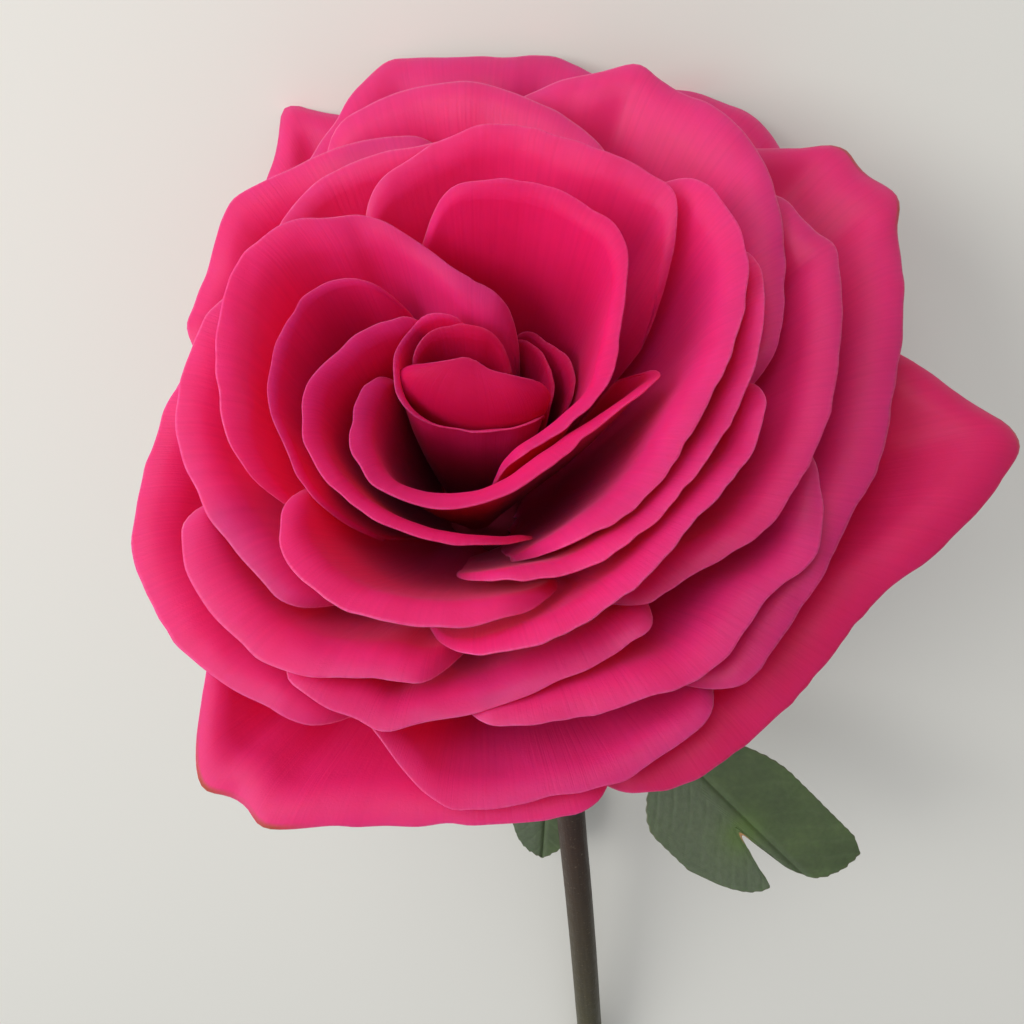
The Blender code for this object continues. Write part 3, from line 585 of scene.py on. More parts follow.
def sheet_skin_tree():
    """Tree that smooths a thin sheet, ruffles it more towards its free edge and gives it its thickness."""
    tree, given = open_tree("sheet_skin", {
        "Sheet": "Geometry", "Thickness": "Float", "Rim Thickness": "Float", "Ruffle Height": "Float",
        "Ruffle Scale": "Float", "Seed": "Float", "Skin": "Material"})
    smooth = add_node(tree, "GeometryNodeSubdivisionSurface", {"Mesh": given["Sheet"], "Level": 1})
    rim = add_node(tree, "GeometryNodeInputNamedAttribute", {"Name": "sheet_rim"}, data_type="FLOAT")
    rim = rim.outputs["Attribute"]
    place = tree.nodes.new("GeometryNodeInputPosition").outputs[0]
    noise = add_node(tree, "ShaderNodeTexNoise", {
        "Vector": place, "Scale": given["Ruffle Scale"], "Detail": 2.0, "W": given["Seed"]},
        noise_dimensions="4D")
    wave = times(tree, math_node(tree, "SUBTRACT", noise.outputs["Fac"], 0.5), given["Ruffle Height"])
    wave = times(tree, wave, math_node(tree, "EXPONENT", times(tree, rim, -0.14)))
    thick = add_node(tree, "ShaderNodeMapRange", {
        "Value": rim, "From Max": 3.0, "To Min": given["Rim Thickness"], "To Max": given["Thickness"]})
    thick = thick.outputs[0]
    rise = math_node(tree, "ADD", wave, times(tree, thick, 0.5))
    normal = tree.nodes.new("GeometryNodeInputNormal").outputs[0]
    front = add_node(tree, "GeometryNodeSetPosition", {
        "Geometry": smooth.outputs[0], "Offset": stretched(tree, normal, rise)})
    back = add_node(tree, "GeometryNodeExtrudeMesh", {
        "Mesh": front.outputs[0], "Offset Scale": times(tree, thick, -1.0), "Individual": False})
    marked = add_node(tree, "GeometryNodeStoreNamedAttribute", {
        "Geometry": back.outputs["Mesh"], "Name": "sheet_far", "Value": back.outputs["Top"]},
        data_type="FLOAT", domain="FACE")
    turned = add_node(tree, "GeometryNodeFlipFaces", {"Mesh": marked.outputs[0]})
    both = joined_shapes(tree, turned.outputs[0], front.outputs[0])
    merged = add_node(tree, "GeometryNodeMergeByDistance", {"Geometry": both, "Distance": 0.00001})
    shaded = add_node(tree, "GeometryNodeSetShadeSmooth", {"Geometry": merged.outputs[0]})
    return close_tree(tree, shaded.outputs[0], given["Skin"])


skin_tree = sheet_skin_tree()
leaf_skin = leaf_material()
for count, (side, shape) in enumerate(LEAVES.items()):
    sheet = grid_mesh("blade_" + side, *leaf_blade(**shape))
    blade = finished("leaf_blade_" + side, sheet, skin_tree, {
        "Thickness": 0.00042, "Rim Thickness": 0.00025, "Ruffle Height": 0.0018, "Ruffle Scale": 60.0,
        "Seed": 3.1 + count, "Skin": leaf_skin})
    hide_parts("leaf_" + side)
    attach(blade, "root")

# ---- Sepals ----
# Five green leaflets round the foot of the bloom that wrapped the bud, bent back now that it is
# open: long points with a small ragged lobe or two at each side, downy on their inner face.
SEPAL_COUNT = 5
SEPAL_FIRST_AZIMUTH = 54.0
SEPAL_ROWS, SEPAL_COLUMNS = 60, 25
SEPAL_PATH = ((12.2, -7.3), (15.6, -9.4), (19.2, -13.2), (21.6, -18.6), (22.4, -24.6), (21.6, -30.4))
SEPAL_HALF_WIDTHS = (2.4, 4.2, 4.6, 3.4, 1.7, 0.25)
# Each pair of lobes: place along the sepal, size, and its own length as a share of the sepal's.
SEPAL_LOBES = ((0.46, 1.5, 0.035), (0.62, 1.2, 0.03))


def sepal_blade(azimuth, seed):
    """Middle surface of a sepal from its foot to its point, and each point's place on it."""
    angle = math.radians(azimuth)
    out = np.array([math.cos(angle), math.sin(angle), 0.0])
    side = np.array([-math.sin(angle), math.cos(angle), 0.0])
    shares = np.linspace(0.0, 1.0, SEPAL_ROWS)
    stations = np.linspace(0.0, 1.0, len(SEPAL_PATH))
    radius = curve_through(stations, [r for r, _ in SEPAL_PATH], shares)
    height = curve_through(stations, [h for _, h in SEPAL_PATH], shares)
    half = curve_through(stations, SEPAL_HALF_WIDTHS, shares)
    across = np.linspace(-1.0, 1.0, SEPAL_COLUMNS)
    widths = half[:, None] * across[None, :]
    for place, size, spread in SEPAL_LOBES:
        for hand in (-1.0, 1.0):
            shifted = place + 0.03 * math.sin(seed * 2.3 + hand)
            lobe = size * np.exp(-((shares - shifted) / spread) ** 2)[:, None]
            widths = widths + hand * lobe * np.clip(across * hand, 0.0, 1.0)[None, :] ** 3
    sway = 0.9 * np.sin(shares * 3.0 + seed * 1.7) * shares
    bowl = -0.055 * widths ** 2 * (1.0 - 0.5 * shares)[:, None] - 0.35 * np.exp(-(widths / 0.5) ** 2)
    grid = (out * (radius[:, None] + bowl)[:, :, None] + side * (widths + sway[:, None])[:, :, None]
            + np.array([0.0, 0.0, 1.0]) * height[:, None, None])
    from_left = run_along(grid, 1)
    to_tip = run_along(grid, 0)
    rim = np.minimum(np.minimum(from_left, from_left[:, -1:] - from_left), to_tip[-1] - to_tip)
    return grid, {"sheet_rim": rim, "sepal_side": widths, "sepal_share": shares[:, None]}


def sepal_material():
    material, tree, place = new_material("sepal_skin")
    rim, far, across = (fact_node(tree, fact) for fact in ("sheet_rim", "sheet_far", "sepal_side"))
    patches = noise_node(tree, place, 160.0, 3.0)
    down = noise_node(tree, place, 2400.0, 2.0)
    share = fact_node(tree, "sepal_share")
    lengthwise = joined_vector(tree, times(tree, across, 1.6), times(tree, share, 2.5))
    veins = noise_node(tree, lengthwise, 1.0, 2.0)
    outer = ramp_node(tree, patches, [(0.3, (0.062, 0.115, 0.030)), (0.7, (0.105, 0.165, 0.050))])
    inner = ramp_node(tree, patches, [(0.3, (0.19, 0.25, 0.12)), (0.7, (0.26, 0.31, 0.17))])
    colour = painted(tree, outer, far, inner)
    colour = shaded_by(tree, colour, weighed(tree, (veins, 0.5), (down, 0.3), plus=0.6))
    edge = ramp_node(tree, rim, [(0.0, 0.5), (0.5, 0.0)])
    colour = painted(tree, colour, edge, (0.17, 0.07, 0.045))
    relief = math_node(tree, "ADD", down, veins)
    finish_material(tree, colour, scaled(tree, patches, -1.3, 1.0), relief, 0.3, 0.0002, {
        "Sheen Weight": 0.15, "Sheen Roughness": 0.5})
    return material


sepal_skin = sepal_material()
for count in range(SEPAL_COUNT):
    middle = sepal_blade(SEPAL_FIRST_AZIMUTH + count * 360.0 / SEPAL_COUNT, count)
    sheet = grid_mesh("sepal_sheet_" + str(count + 1), *middle)
    sepal = finished("bloom_sepal_" + str(count + 1), sheet, skin_tree, {
        "Thickness": 0.0006, "Rim Thickness": 0.0003, "Ruffle Height": 0.0012, "Ruffle Scale": 140.0,
        "Seed": 8.3 + count, "Skin": sepal_skin})
    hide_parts("sepal_" + str(count + 1))
    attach(sepal, "root")

# ---- Petals: their shape ----
# Thirty-four petals grow in a spiral on the receptacle's cone, narrow at the foot and wide at the
# free edge, which nearly all roll outwards. The inner ones stand in cups round the heart and the
# outer ones lie back. Each lies on a layer, one of a nest of meridian curves that never meet.
CLAW_HALF_ANGLE = 20.0
CLAW_SHARE = 0.42
CLAW_LAYERS = (0.0, 10.0, 84.0)
CLAW_FOOT_RADII = (0.9, 3.9, 14.2)
CONE_TOP = 10.4
CONE_FALL = 0.9375
HEART_LEAN = 4.5
LEAN_HEIGHT = 42.0
HEART_PETALS = ("heart_front", "heart_back", "heart_fold", "inner_a")
# A petal's sides run on past its stations, and its edge falls there.
SIDE_SPREAD = 3.0
SIDE_SHARE = 0.09
SIDE_MOST = 4.0
SIDE_FALL = 13.0
SIDE_STEEPNESS = 1.2
LEAST_TURN_SHARE = 0.6
LEAST_ROLL = 0.35
ROLL_LOST_AT_SIDES = 0.85
# The sides of the outer petals run on under their neighbours: farther round, in and down.
TUCK_TURN = 9.5
TUCK_IN = 5.5
TUCK_DOWN = 4.0
# Share of its full roll that the lip of an open petal has taken.
OPENED_LIP = 0.8
FOLDED_PINCH = 0.6
# Free edges are uneven by so many millimetres, in waves of so many radians to a millimetre, and
# the unevenness fades over so many more.
RAGGED = 0.45
RAGGED_WAVES = (0.35, 0.83, 1.7, 2.3)
RAGGED_FADE = 4.0
WALL_ROWS = 22
LIP_ROWS = 9
SETTLING_ROUNDS = 4
# Layers by the radius of their top: its height, and the slopes of the curve at foot and top.
LAYER_RADII = (0.0, 10.0, 25.0, 35.0, 45.0, 55.0, 65.0, 80.0)
LAYER_HEIGHTS = (48.0, 48.0, 48.0, 46.5, 43.0, 37.0, 30.0, 21.0)
FOOT_SLOPES = (88.0, 80.0, 58.0, 46.0, 36.0, 28.0, 20.0, 10.0)
TOP_SLOPES = (90.0, 86.0, 72.0, 63.0, 54.0, 44.0, 32.0, 12.0)
CURVE_REACH = 0.42

# Each petal: how far its lip rolls out, by what angle, and stations along its free edge.
# A station is (azimuth in degrees, radius, height). A negative roll closes inwards.
PETALS = {
    "heart_front": (-4.6, -80, [
        (182, 8.8, 43), (190, 7.2, 43.8), (201, 4.8, 44.5), (216, 2.9, 44.8), (238, 1.7, 44.8),
        (262, 1.4, 44.6), (288, 1.8, 44.3), (310, 3.2, 44.1), (324, 5.0, 43.9), (336, 7.0, 43.4),
        (344, 8.8, 42.8)]),
    "heart_back": (0.9, 60, [
        (170, 8.5, 42), (157, 8.2, 42), (141, 7.5, 42), (117, 6.5, 42), (87, 6.0, 41.5), (64, 6.7, 40),
        (50, 7.1, 38.5)]),
    "heart_fold": (0.6, 60, [(125, 5.0, 36), (98, 4.4, 36.5), (70, 4.6, 35.5)]),
    "inner_a": (0.6, 70, [
        (92, 8.4, 41), (103, 8.4, 41.8), (117, 8.9, 42), (138, 9.9, 42), (164, 10.4, 42), (182, 10.7, 42),
        (199, 10.8, 41.5), (215, 10.5, 40.5), (224, 9.7, 39.5), (239, 8.2, 38.5), (261, 7.4, 38),
        (289, 7.7, 38), (315, 9.4, 38), (332, 10.2, 38), (349, 10.3, 38)]),
    "inner_b": (0.7, 70, [
        (70, 16.2, 31.6), (60, 15.4, 32.8), (48, 14.3, 33.8), (36, 13, 34.4), (22, 11.6, 34.4),
        (10, 10.7, 34.2)]),
    "inner_c": (0.7, 70, [
        (70, 18, 31.2), (54, 17, 32.5), (40, 16.3, 34), (30, 15.8, 34.8), (20, 14.8, 35), (9, 13.1, 34.8)]),
    "inner_d": (2.8, 80, [
        (159, 13.4, 41.4), (168, 13.4, 42.4), (180, 14.2, 43.2), (198, 16, 44), (217, 18, 46),
        (233, 19, 46), (259, 18, 46), (274, 17.2, 46), (307, 15.6, 46), (330, 16.4, 45.4),
        (342, 18, 45), (353, 20.7, 45), (361, 23.2, 44.5), (366, 25.4, 44), (370, 27, 43.4)]),
    "inner_e": (2.2, 85, [
        (118, 14.2, 42), (134, 15, 43), (150, 16.5, 44), (169, 18.5, 45), (185, 21, 46),
        (204, 22.5, 46), (237, 22.5, 46), (264, 22, 45), (284, 22, 44)]),
    "inner_f": (2.5, 80, [
        (108, 25.6, 44.4), (104, 26.6, 45.8), (100, 27.6, 47.4), (95, 28, 49), (83, 28.1, 50), (70, 28.4, 50),
        (57, 28, 50), (48, 27.8, 50), (42, 26.8, 49.5), (28, 22.2, 48.6), (14, 19.4, 47.2), (-6, 16.8, 46),
        (-18, 14.8, 45.4), (-32, 13.4, 45), (-51, 12.2, 44.8), (-68, 11.6, 44.6)]),
    "inner_g": (1.2, 80, [
        (124, 20.6, 42.6), (130, 21.9, 43.8), (136.5, 23.9, 44), (153, 26, 45), (187, 26, 45), (204, 25, 43),
        (222, 25, 42)]),
    "middle_a": (4.2, 98, [
        (68, 15.5, 40.5), (80, 15.9, 41.5), (95, 17.7, 43), (104, 20.4, 44), (112, 24.2, 45),
        (119, 28.2, 46), (125.5, 30.2, 46.6), (129, 30.3, 47), (132.5, 31.6, 47.4), (138.5, 33.6, 48),
        (148, 34.8, 48), (158, 34.3, 48), (167, 33.2, 47.6), (177, 32.5, 47), (194, 31.6, 46),
        (204, 31.6, 45)]),
    "middle_b": (4.2, 98, [
        (209, 27.4, 42), (217, 29.4, 43), (225, 32, 44), (243, 33.5, 45), (262, 32.5, 45),
        (277, 31.4, 44), (285, 30.4, 42), (290, 30.1, 42)]),
    "middle_c": (4.8, 98, [
        (55, 43.5, 43), (48, 45.2, 44), (34, 43.4, 45), (21, 38.8, 45), (8, 34, 46), (-6, 30, 46),
        (-26, 27.5, 45), (-52, 25.5, 44), (-68, 24.3, 43)]),
    "middle_d": (3.2, 98, [
        (36, 46, 41), (27, 44, 42), (16, 40, 44), (4, 36.5, 44), (-10, 33, 44), (-25, 30.5, 44),
        (-47, 29, 44), (-64, 27.8, 43), (-79, 26.5, 43), (-89, 26.2, 43)]),
    "middle_e": (3.8, 98, [
        (6, 39.5, 42), (-11, 37, 42), (-24, 34.5, 43), (-39, 33, 43), (-55, 33.5, 43), (-72, 34.5, 43),
        (-83, 34.8, 42), (-95, 35, 41)]),
    "middle_f": (3.8, 98, [
        (121, 32.5, 43), (113, 35, 44), (100, 38, 45), (83, 41, 46), (67, 40, 46), (48, 41, 45),
        (42, 37.6, 44), (36, 34.8, 43.3)]),
    "outer_a": (6.6, 122, [
        (112, 53, 38), (99, 55, 39), (90, 54, 40), (80, 51, 40), (67, 46, 40)]),
    "outer_b": (7.6, 122, [
        (82, 55, 37), (76, 59.4, 37), (71, 61.8, 37.6), (67, 64.6, 38), (63, 62.6, 38), (51, 61, 39),
        (38, 55, 39), (25, 48, 38), (14, 43, 38)]),
    "outer_c": (3.2, 122, [
        (93, 43, 40), (101, 42, 41), (120, 42, 41), (131, 40, 41), (138, 38, 41)]),
    "outer_d": (6.1, 122, [
        (101, 46.5, 38), (113, 48, 38), (125, 49, 37), (135, 50, 37), (143, 47, 37), (151, 44.5, 36),
        (161, 43, 36)]),
    "outer_e": (5.6, 122, [
        (148, 37.5, 38), (162, 40, 38), (183, 39.5, 38), (203, 37.5, 38), (214, 36.3, 38),
        (230, 35.4, 37)]),
    "outer_f": (6.6, 122, [
        (172, 42, 33), (181, 44, 32), (190, 46, 32), (205, 49, 32), (213, 49, 32), (227, 48, 32),
        (236, 46.7, 32), (243, 46, 31)]),
    "outer_g": (6.1, 122, [
        (205, 41, 38), (217, 43, 38), (230, 43, 38), (238, 42, 38), (247, 40, 38), (254, 38.4, 38),
        (260, 38.2, 38)]),
    "outer_h": (5.7, 122, [
        (240, 43.3, 36), (246, 43.4, 35), (251, 43.2, 34.4), (255.5, 44.2, 34), (260, 42.2, 34),
        (270, 40.5, 34), (287, 38, 35), (298, 37.6, 35), (306, 37.6, 36)]),
    "outer_i": (5.6, 122, [
        (38, 57, 37), (31, 56.6, 37), (27, 58.2, 37.3), (23, 55.8, 38), (1, 48, 38), (-14, 44, 38),
        (-26, 41, 38), (-39, 36.5, 37), (-50, 35, 37)]),
    "outer_j": (5.6, 122, [
        (-6, 46.6, 32.5), (-13, 48, 33), (-22, 49, 33), (-35, 45.5, 33), (-49, 46, 33), (-61, 44, 34),
        (-75, 42.5, 34), (-86, 42, 34)]),
    "guard_a": (7.9, 125, [
        (49, 65, 31), (44.5, 70.5, 31), (41, 75.6, 31), (37, 74.2, 31), (32, 75.8, 31), (28, 71.6, 31),
        (20, 67, 31), (7, 60, 31), (-5, 56, 31), (-17, 52, 31), (-36, 50, 30), (-44, 50, 30)]),
    "guard_b": (7.9, 125, [
        (121, 53, 31), (113, 59, 31), (106, 66, 31), (102, 69, 31), (96, 67, 32), (87, 67, 32),
        (80, 69, 31), (72, 66, 31)]),
    "guard_c": (4.4, 108, [
        (252, 42.6, 31), (256.5, 45, 29.5), (260.5, 47.6, 28.5), (264, 50, 28), (268, 51, 27.5),
        (274, 50.8, 27), (280, 50.4, 27), (287, 50.8, 27), (292, 51, 27), (297, 50.6, 27),
        (303, 50.4, 27), (308, 49.8, 27)]),
    "guard_d": (6.7, 125, [
        (222, 47, 27), (227, 52.4, 26), (231.6, 57.4, 25.4), (234.6, 59.4, 25), (237.6, 57.7, 25),
        (240.6, 58.3, 25), (243.4, 59.4, 25), (248, 57, 24.8), (260, 53.4, 24), (270, 52.4, 23.6),
        (279, 52.4, 23.4), (286, 52.8, 23.3)]),
    "guard_e": (9.2, 125, [
        (17, 63, 25), (9, 70, 25), (5, 74, 25), (1.5, 79, 25), (-3, 76, 25), (-14, 66, 24.5),
        (-22, 59.8, 24), (-34, 56.8, 23), (-47, 55.6, 22), (-54, 55, 22), (-60, 54.6, 21.6),
        (-64, 53.6, 21.6)]),
    "guard_f": (7.9, 125, [
        (98, 58, 24), (110, 65.5, 24), (114, 68.6, 24), (117, 72.5, 24), (120, 67, 24), (124, 61.5, 24),
        (140, 50, 24), (153, 46.6, 24)]),
    "guard_g": (5.3, 125, [
        (28, 66, 23), (44, 73, 23), (55, 77, 24), (63, 76, 24), (72, 68, 24), (86, 62, 24)]),
    "guard_h": (7.9, 125, [
        (158, 44, 26), (175, 46, 25), (195, 47, 25), (210, 45.4, 25.6)]),
}


def layer_point(layer, climb):
    """Radius and height of points on layers' meridians, which go on straight past their ends."""
    foot_slope = np.radians(np.interp(layer, LAYER_RADII, FOOT_SLOPES))
    top_slope = np.radians(np.interp(layer, LAYER_RADII, TOP_SLOPES))
    foot_radius = np.interp(layer, CLAW_LAYERS, CLAW_FOOT_RADII)
    foot = np.stack([foot_radius, CONE_TOP - CONE_FALL * foot_radius])
    top = np.stack([layer, np.interp(layer, LAYER_RADII, LAYER_HEIGHTS)])
    reach = CURVE_REACH * np.linalg.norm(top - foot, axis=0)
    second = foot + reach * np.stack([np.cos(foot_slope), np.sin(foot_slope)])
    third = top - reach * np.stack([np.cos(top_slope), np.sin(top_slope)])
    inside, beyond = np.clip(climb, 0.0, 1.0), np.maximum(climb - 1.0, 0.0)
    curve = ((1 - inside) ** 3 * foot + 3 * inside * (1 - inside) ** 2 * second
             + 3 * inside ** 2 * (1 - inside) * third + inside ** 3 * top)
    return curve + 3 * beyond * (top - third)


LAYER_STEPS, CLIMB_STEPS = np.linspace(1.0, 84.0, 333), np.linspace(0.0, 1.6, 321)
LAYER_NET = [layer_point(np.full_like(CLIMB_STEPS, layer), CLIMB_STEPS) for layer in LAYER_STEPS]


def layer_through(radius, height):
    """The layer whose meridian passes through a point, and how far up it the point is."""
    radii = [np.interp(height, row[1], row[0]) for row in LAYER_NET]
    layer = np.interp(radius, radii, LAYER_STEPS)
    return layer, climb_at(layer, height)


def climb_at(layer, height):
    """How far up its meridian a layer reaches a height."""
    return np.interp(height, layer_point(np.full_like(CLIMB_STEPS, layer), CLIMB_STEPS)[1], CLIMB_STEPS)


def wall_slope(layer, climb):
    """Slope of a layer's meridian at a point."""
    near = layer_point(np.full(2, layer), np.array([climb - 0.01, climb + 0.01]))
    return math.atan2(near[1][1] - near[1][0], near[0][1] - near[0][0])


def lip_turn(slope, turn_degrees):
    """Turn of a lip, less where the wall already leans out."""
    if turn_degrees < 0.0:
        return math.radians(turn_degrees)
    return math.radians(max(LEAST_TURN_SHARE * turn_degrees, turn_degrees - 90.0 + math.degrees(slope)))


def lip_bend(slope, turn, roll):
    """Bend radius of a lip that rolls out by a distance while it turns by an angle."""
    return roll / (np.sin(slope) - np.sin(slope - turn))


def uneven(places, seed, waves):
    """Gentle uneven line between -1 and 1, the same for a petal each time."""
    turns = np.random.default_rng(seed).uniform(0.0, 2.0 * math.pi, len(waves))
    return sum(np.sin(places * wave + turn) for wave, turn in zip(waves, turns)) / len(waves)


def tucked_in(stations):
    """Stations with one more at each end, where the petal slips in under its neighbours."""
    stations = sorted(stations)
    first, last = stations[0], stations[-1]
    before = (first[0] - TUCK_TURN, first[1] - TUCK_IN, first[2] - TUCK_DOWN)
    after = (last[0] + TUCK_TURN, last[1] - TUCK_IN, last[2] - TUCK_DOWN)
    return [before, *stations, after]


def petal_middle(petal_name, stations, roll, turn_degrees, columns, seed, lean):
    """Middle surface of a petal, row by row from claw to free edge, with each point's place on the petal."""
    places, station_radii, station_heights = np.array(sorted(stations), float).T
    span = places[-1] - places[0]
    side = min(SIDE_SHARE * span, math.degrees(SIDE_MOST / np.mean(station_radii)))
    middle, half_span = (places[0] + places[-1]) / 2.0, span / 2.0 + side
    across = np.linspace(-1.0, 1.0, columns)
    azimuths = middle + across * half_span
    radii = curve_through(places, station_radii, azimuths)
    heights = curve_through(places, station_heights, azimuths)
    past = np.abs(azimuths - middle) - half_span + SIDE_SPREAD * side
    side_length = SIDE_SPREAD * math.radians(side) * np.mean(radii)
    fall = min(SIDE_FALL, SIDE_STEEPNESS * side_length)
    falls = fall * np.clip(past / (SIDE_SPREAD * side), 0.0, 1.0) ** 3
    rolls = np.maximum(abs(roll) * (1.0 - ROLL_LOST_AT_SIDES * np.abs(across) ** 4), LEAST_ROLL)
    rolls = math.copysign(1.0, roll) * rolls
    pinch = FOLDED_PINCH if roll < 0.0 else 0.0
    layers, climbs, turns, ups = (np.zeros(columns) for _ in range(4))
    slopes = np.full(columns, math.radians(85.0))
    for c in range(columns):
        for _ in range(SETTLING_ROUNDS):
            turns[c] = lip_turn(slopes[c], turn_degrees)
            bend = lip_bend(slopes[c], turns[c], rolls[c])
            ups[c] = bend * (math.cos(slopes[c] - turns[c]) - math.cos(slopes[c]))
            layers[c], climbs[c] = layer_through(radii[c] - rolls[c], heights[c] - ups[c])
            slopes[c] = wall_slope(layers[c], climbs[c])
        climbs[c] = climb_at(layers[c], heights[c] - ups[c] - falls[c])
        slopes[c] = wall_slope(layers[c], climbs[c])
    rows = []
    claw = min(1.0, CLAW_HALF_ANGLE / half_span)
    for s in np.linspace(0.0, 1.0, WALL_ROWS):
        width = claw + (1.0 - claw) * smooth_step(s / CLAW_SHARE)
        place = middle + (azimuths - middle) * width
        layer = np.interp(place, azimuths, layers) * (1.0 - pinch * (1.0 - s))
        radius, height = layer_point(layer, climbs * s)
        rows.append(np.stack([np.radians(place), radius, height], axis=1))
    top_radius, top_height = layer_point(layers, climbs)
    bends = lip_bend(slopes, turns, rolls)
    for s in np.linspace(0.0, 1.0, LIP_ROWS + 1)[1:]:
        out = bends * (np.sin(slopes) - np.sin(slopes - turns * s))
        up = bends * (np.cos(slopes - turns * s) - np.cos(slopes))
        rows.append(np.stack([np.radians(azimuths), top_radius + out, top_height + up], axis=1))
    turn, radius, height = np.moveaxis(np.array(rows), 2, 0)
    shift = lean * (height / LEAN_HEIGHT) ** 2
    grid = np.stack([radius * np.cos(turn), radius * np.sin(turn) + shift, height], axis=2)
    climbed, from_left = run_along(grid, 0), run_along(grid, 1)
    to_rim = climbed[-1] - climbed
    to_side = np.minimum(from_left, from_left[:, -1:] - from_left)
    rim_place = np.radians(azimuths) * radii
    ragged = RAGGED * uneven(rim_place, seed, RAGGED_WAVES) * (1.0 - across ** 8)
    ragged = ragged[None, :] * np.exp(-to_rim / RAGGED_FADE)
    grid = grid + unit(np.gradient(grid, axis=0)) * ragged[:, :, None]
    brown = np.zeros(columns)
    for place, reach in BROWNED.get(petal_name, ()):
        brown = np.maximum(brown, np.exp(-(np.radians(azimuths - place) * radii / reach) ** 2))
    return grid, {"petal_brown": brown, "sheet_rim": np.minimum(to_rim, to_side),
                  "petal_height": climbed / climbed[-1:], "petal_width": rim_place}


# ---- Petals: their colour ----
# Petal skin is velvety: crimson, darkened by painted shade down in the cup, clear pink towards the
# lip, with faint veins fanning out from the claw, a fine grain of cells and a painted highlight, a
# paler line, on the very edge.

# Spots where the edge has dried brown: azimuth in degrees and reach in millimetres.
BROWNED = {
    "guard_a": ((40.0, 5.0), (30.0, 2.0)),
    "guard_d": ((234.0, 4.0), (244.0, 3.0)),
    "guard_e": ((2.0, 2.0),),
}


def petal_material(name, tone, depth, sheen_and_painted_edge_highlight):
    """Velvet skin of a tone, darkened low down by painted shade, with sheen, specular and a painted edge
    highlight.
    """
    material, tree, place = new_material(name)
    height, rim, width = (fact_node(tree, fact) for fact in ("petal_height", "sheet_rim", "petal_width"))
    body = ramp_node(tree, height, [
        (0.0, (0.84, 0.008, 0.140)), (0.5, (0.85, 0.010, 0.142)), (0.8, (0.83, 0.013, 0.145)),
        (1.0, (0.82, 0.018, 0.155))])
    fanning = joined_vector(tree, times(tree, width, 1.6), times(tree, height, 3.0))
    streaks = noise_node(tree, fanning, 1.0, 4.0)
    mottle = noise_node(tree, place, 120.0, 3.0)
    body = shaded_by(tree, body, weighed(tree, (streaks, 0.20), (mottle, 0.24), plus=0.78))
    # The tone of some skins carries painted shade, and the outer ring's tone partly painted sheen.
    body = mix_colours(tree, "MULTIPLY", 1.0, body, tone)
    # Painted shade: darker towards the petal's foot, down in the cup, keeping the given share of its
    # brightness there.
    painted_shade_share = 1.0 - depth
    body = shaded_by(tree, body, ramp_node(tree, height, [
        (0.45, depth), (0.70, depth + 0.3 * painted_shade_share), (0.88, depth + 0.8 * painted_shade_share), (1.0, 1.0)]))
    # Painted highlight: a paler line along the very edge, where it catches the light, weaker on the skins
    # that lie in less light.
    painted_edge_highlight = ramp_node(tree, rim, [(0.0, 0.42), (0.25, 0.10), (0.6, 0.0)])
    painted_edge_highlight = times(tree, painted_edge_highlight, scaled(tree, streaks, 0.25, 0.6))
    body = painted(tree, body, times(tree, painted_edge_highlight, 0.3 + 0.7 * sheen_and_painted_edge_highlight), (0.90, 0.16, 0.32))
    brown = times(tree, fact_node(tree, "petal_brown"), ramp_node(tree, rim, [(0.3, 1.0), (0.9, 0.0)]))
    body = painted(tree, body, brown, (0.24, 0.07, 0.03))
    relief = math_node(tree, "ADD", times(tree, noise_node(tree, place, 2600.0, 2.0), 0.35), streaks)
    rough = weighed(tree, (mottle, 0.2), plus=0.42)
    finish_material(tree, body, rough, relief, 0.2, 0.0003, {
        "Subsurface Weight": 0.7, "Subsurface Radius": (1.0, 0.12, 0.18), "Subsurface Scale": 0.004,
        "Sheen Weight": 0.16 * sheen_and_painted_edge_highlight, "Sheen Roughness": 0.4, "Sheen Tint": (1.0, 0.35, 0.52),
        "Specular IOR Level": 0.25 * sheen_and_painted_edge_highlight})
    return material


# ---- Petals: their making ----
# Each petal is a thin sheet on its own layer, thinner at the rim than lower down, and is held at
# its claw by the receptacle. The two petals folded beside the heart and three petals at the right
# side are painted darker than their rings, as painted shade.
OPENED_RINGS = ("middle", "outer", "guard")
TUCKED_RINGS = ("outer", "guard")
COLUMN_WIDTH = 1.25
COLUMNS_FEWEST, COLUMNS_MOST = 17, 72
# Each skin: tone, share of brightness kept at the foot under painted shade, and the strength of its
# sheen, specular and painted edge highlight. The tones carry painted shade too: darker for the
# heart, the petals folded beside it, the guard ring a little and the right-side petals most; the
# outer ring's pinker tone is partly painted sheen.
SKINS = {
    "heart": ((0.70, 0.34, 0.46), 0.5, 0.2),
    "painted_shade_folds": ((0.55, 0.28, 0.36), 0.3, 0.1),
    "inner": ((0.95, 0.60, 0.80), 0.25, 0.4),
    "middle": ((1.0, 0.93, 0.96), 1.0, 0.85),
    "outer": ((1.0, 1.10, 1.02), 1.0, 1.1),
    "guard": ((0.90, 1.05, 0.98), 1.0, 1.0),
    "right_painted_shade": ((0.80, 0.92, 0.86), 1.0, 1.0),
    "right_painted_shade_dark": ((0.60, 0.72, 0.64), 1.0, 0.7),
}
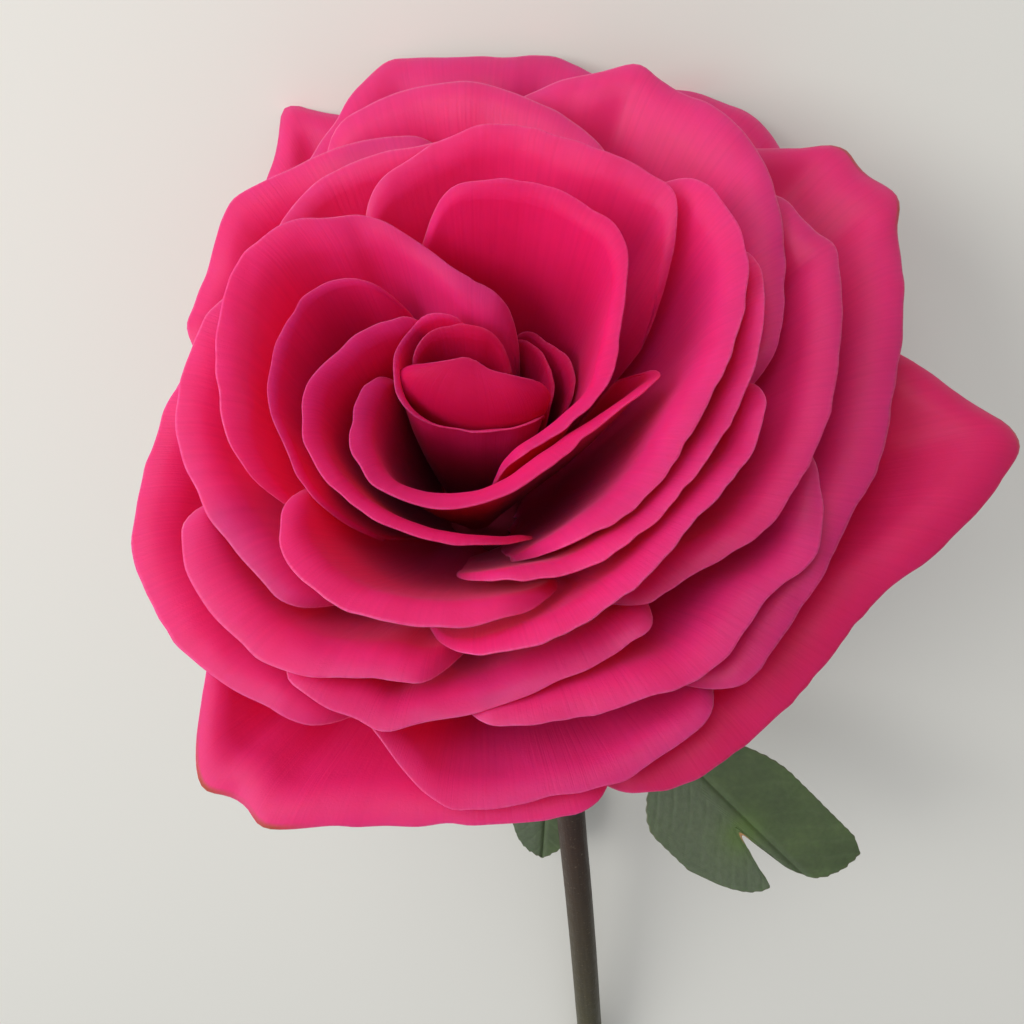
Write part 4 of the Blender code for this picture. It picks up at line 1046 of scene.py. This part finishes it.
# Skins of their own, all painted shade: on the two petals folded beside the heart and on three petals at the
# right side.
OWN_SKINS = {
    "inner_b": "painted_shade_folds", "inner_c": "painted_shade_folds", "guard_a": "right_painted_shade", "outer_i": "right_painted_shade", "guard_e": "right_painted_shade_dark"}
skins = {name: petal_material("petal_" + name, *look) for name, look in SKINS.items()}
for count, (petal_name, (lip_roll, lip_degrees, stations)) in enumerate(PETALS.items()):
    azimuths, radii, _ = zip(*stations)
    width = math.radians(max(azimuths) - min(azimuths)) * np.mean(radii)
    columns = int(np.clip(width / COLUMN_WIDTH, COLUMNS_FEWEST, COLUMNS_MOST))
    lean = HEART_LEAN if petal_name in HEART_PETALS else 0.0
    ring = petal_name.split("_")[0]
    if ring in TUCKED_RINGS:
        stations = tucked_in(stations)
    if ring in OPENED_RINGS:
        lip_degrees = OPENED_LIP * lip_degrees
    middle = petal_middle(petal_name, stations, lip_roll, lip_degrees, columns, count, lean)
    sheet = grid_mesh("sheet_" + petal_name, *middle)
    petal = finished("bloom_" + petal_name, sheet, skin_tree, {
        "Thickness": 0.00042, "Rim Thickness": 0.00022, "Ruffle Height": 0.0016, "Ruffle Scale": 95.0,
        "Seed": 3.7 * count, "Skin": skins[OWN_SKINS.get(petal_name, ring)]})
    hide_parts("petal_" + petal_name)
    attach(petal, "root")

# ---- Floor, light and camera ----
# A pale smooth surface under the flower, a broad soft window light from its left side, a wide far
# light over the bloom's face and a quiet sky around. The camera looks down on the bloom, a little
# from below its axis.
BLOOM_CENTRE = laid_down([(0.0, 0.0, 30.0)])[0]
CAMERA_BELOW_AXIS = 22.0
CAMERA_PLACE = (5.1, -66.7, 165.8)
SENSOR_WIDTH, FOCAL_LENGTH = 36.0, 37.74
FLOOR_REACH = 6.0

floor_mesh = bpy.data.meshes.new("floor")
floor_signs = ((-1, -1), (1, -1), (1, 1), (-1, 1))
floor_mesh.from_pydata([(x * FLOOR_REACH, y * FLOOR_REACH, 0) for x, y in floor_signs], [], [(0, 1, 2, 3)])
floor_paint, paint_tree, _ = new_material("floor_paint")
for socket_name, paint in (("Base Color", (0.785, 0.77, 0.695)), ("Roughness", 0.8)):
    feed(paint_tree, paint_tree.nodes["Principled BSDF"].inputs[socket_name], paint)
floor_mesh.materials.append(floor_paint)
floor = put_in_scene("floor", floor_mesh)


def soft_light(name, kind, offset, size, power):
    """A disk of light of a size in metres, or a far light as wide as an angle, aimed at the bloom."""
    lamp = bpy.data.lights.new(name, kind)
    if kind == "AREA":
        lamp.shape = "DISK"
        lamp.size = size
    else:
        lamp.angle = size
    lamp.energy = power
    holder = put_in_scene(name, lamp)
    holder.location = BLOOM_CENTRE + np.array(offset)
    direction = -unit(np.array(offset))
    yaw = math.atan2(direction[1], direction[0]) - math.pi / 2.0
    holder.rotation_euler = (math.acos(-direction[2]), 0.0, yaw)


soft_light("window", "AREA", (-0.56, 0.27, 0.38), 0.45, 3.15)
soft_light("front", "SUN", (-0.16, 0.48, 0.28), math.radians(35.0), 0.98)
world = bpy.data.worlds.new("room")
world.use_nodes = True
sky = world.node_tree
aloft = sky.nodes.new("ShaderNodeTexCoord").outputs["Generated"]
aloft = add_node(sky, "ShaderNodeSeparateXYZ", {0: aloft}).outputs
side_light = weighed(sky, (aloft["X"], -0.33), (aloft["Z"], 0.18), plus=0.40)
seen = times(sky, sky.nodes.new("ShaderNodeLightPath").outputs["Is Camera Ray"], 0.75)
feed(sky, sky.nodes["Background"].inputs["Color"], (0.92, 0.94, 1.0))
feed(sky, sky.nodes["Background"].inputs["Strength"], math_node(sky, "MAXIMUM", side_light, seen))
bpy.context.scene.world = world
bpy.context.scene.view_settings.view_transform = "Standard"

lens = bpy.data.cameras.new("camera")
lens.sensor_width = SENSOR_WIDTH
lens.lens = FOCAL_LENGTH
lens.clip_start = 0.01
camera = put_in_scene("camera", lens)
camera.location = laid_down([CAMERA_PLACE])[0]
camera.rotation_euler = tuple(math.radians(a) for a in (BLOOM_TURN[0] + CAMERA_BELOW_AXIS, *BLOOM_TURN[1:]))
bpy.context.scene.camera = camera
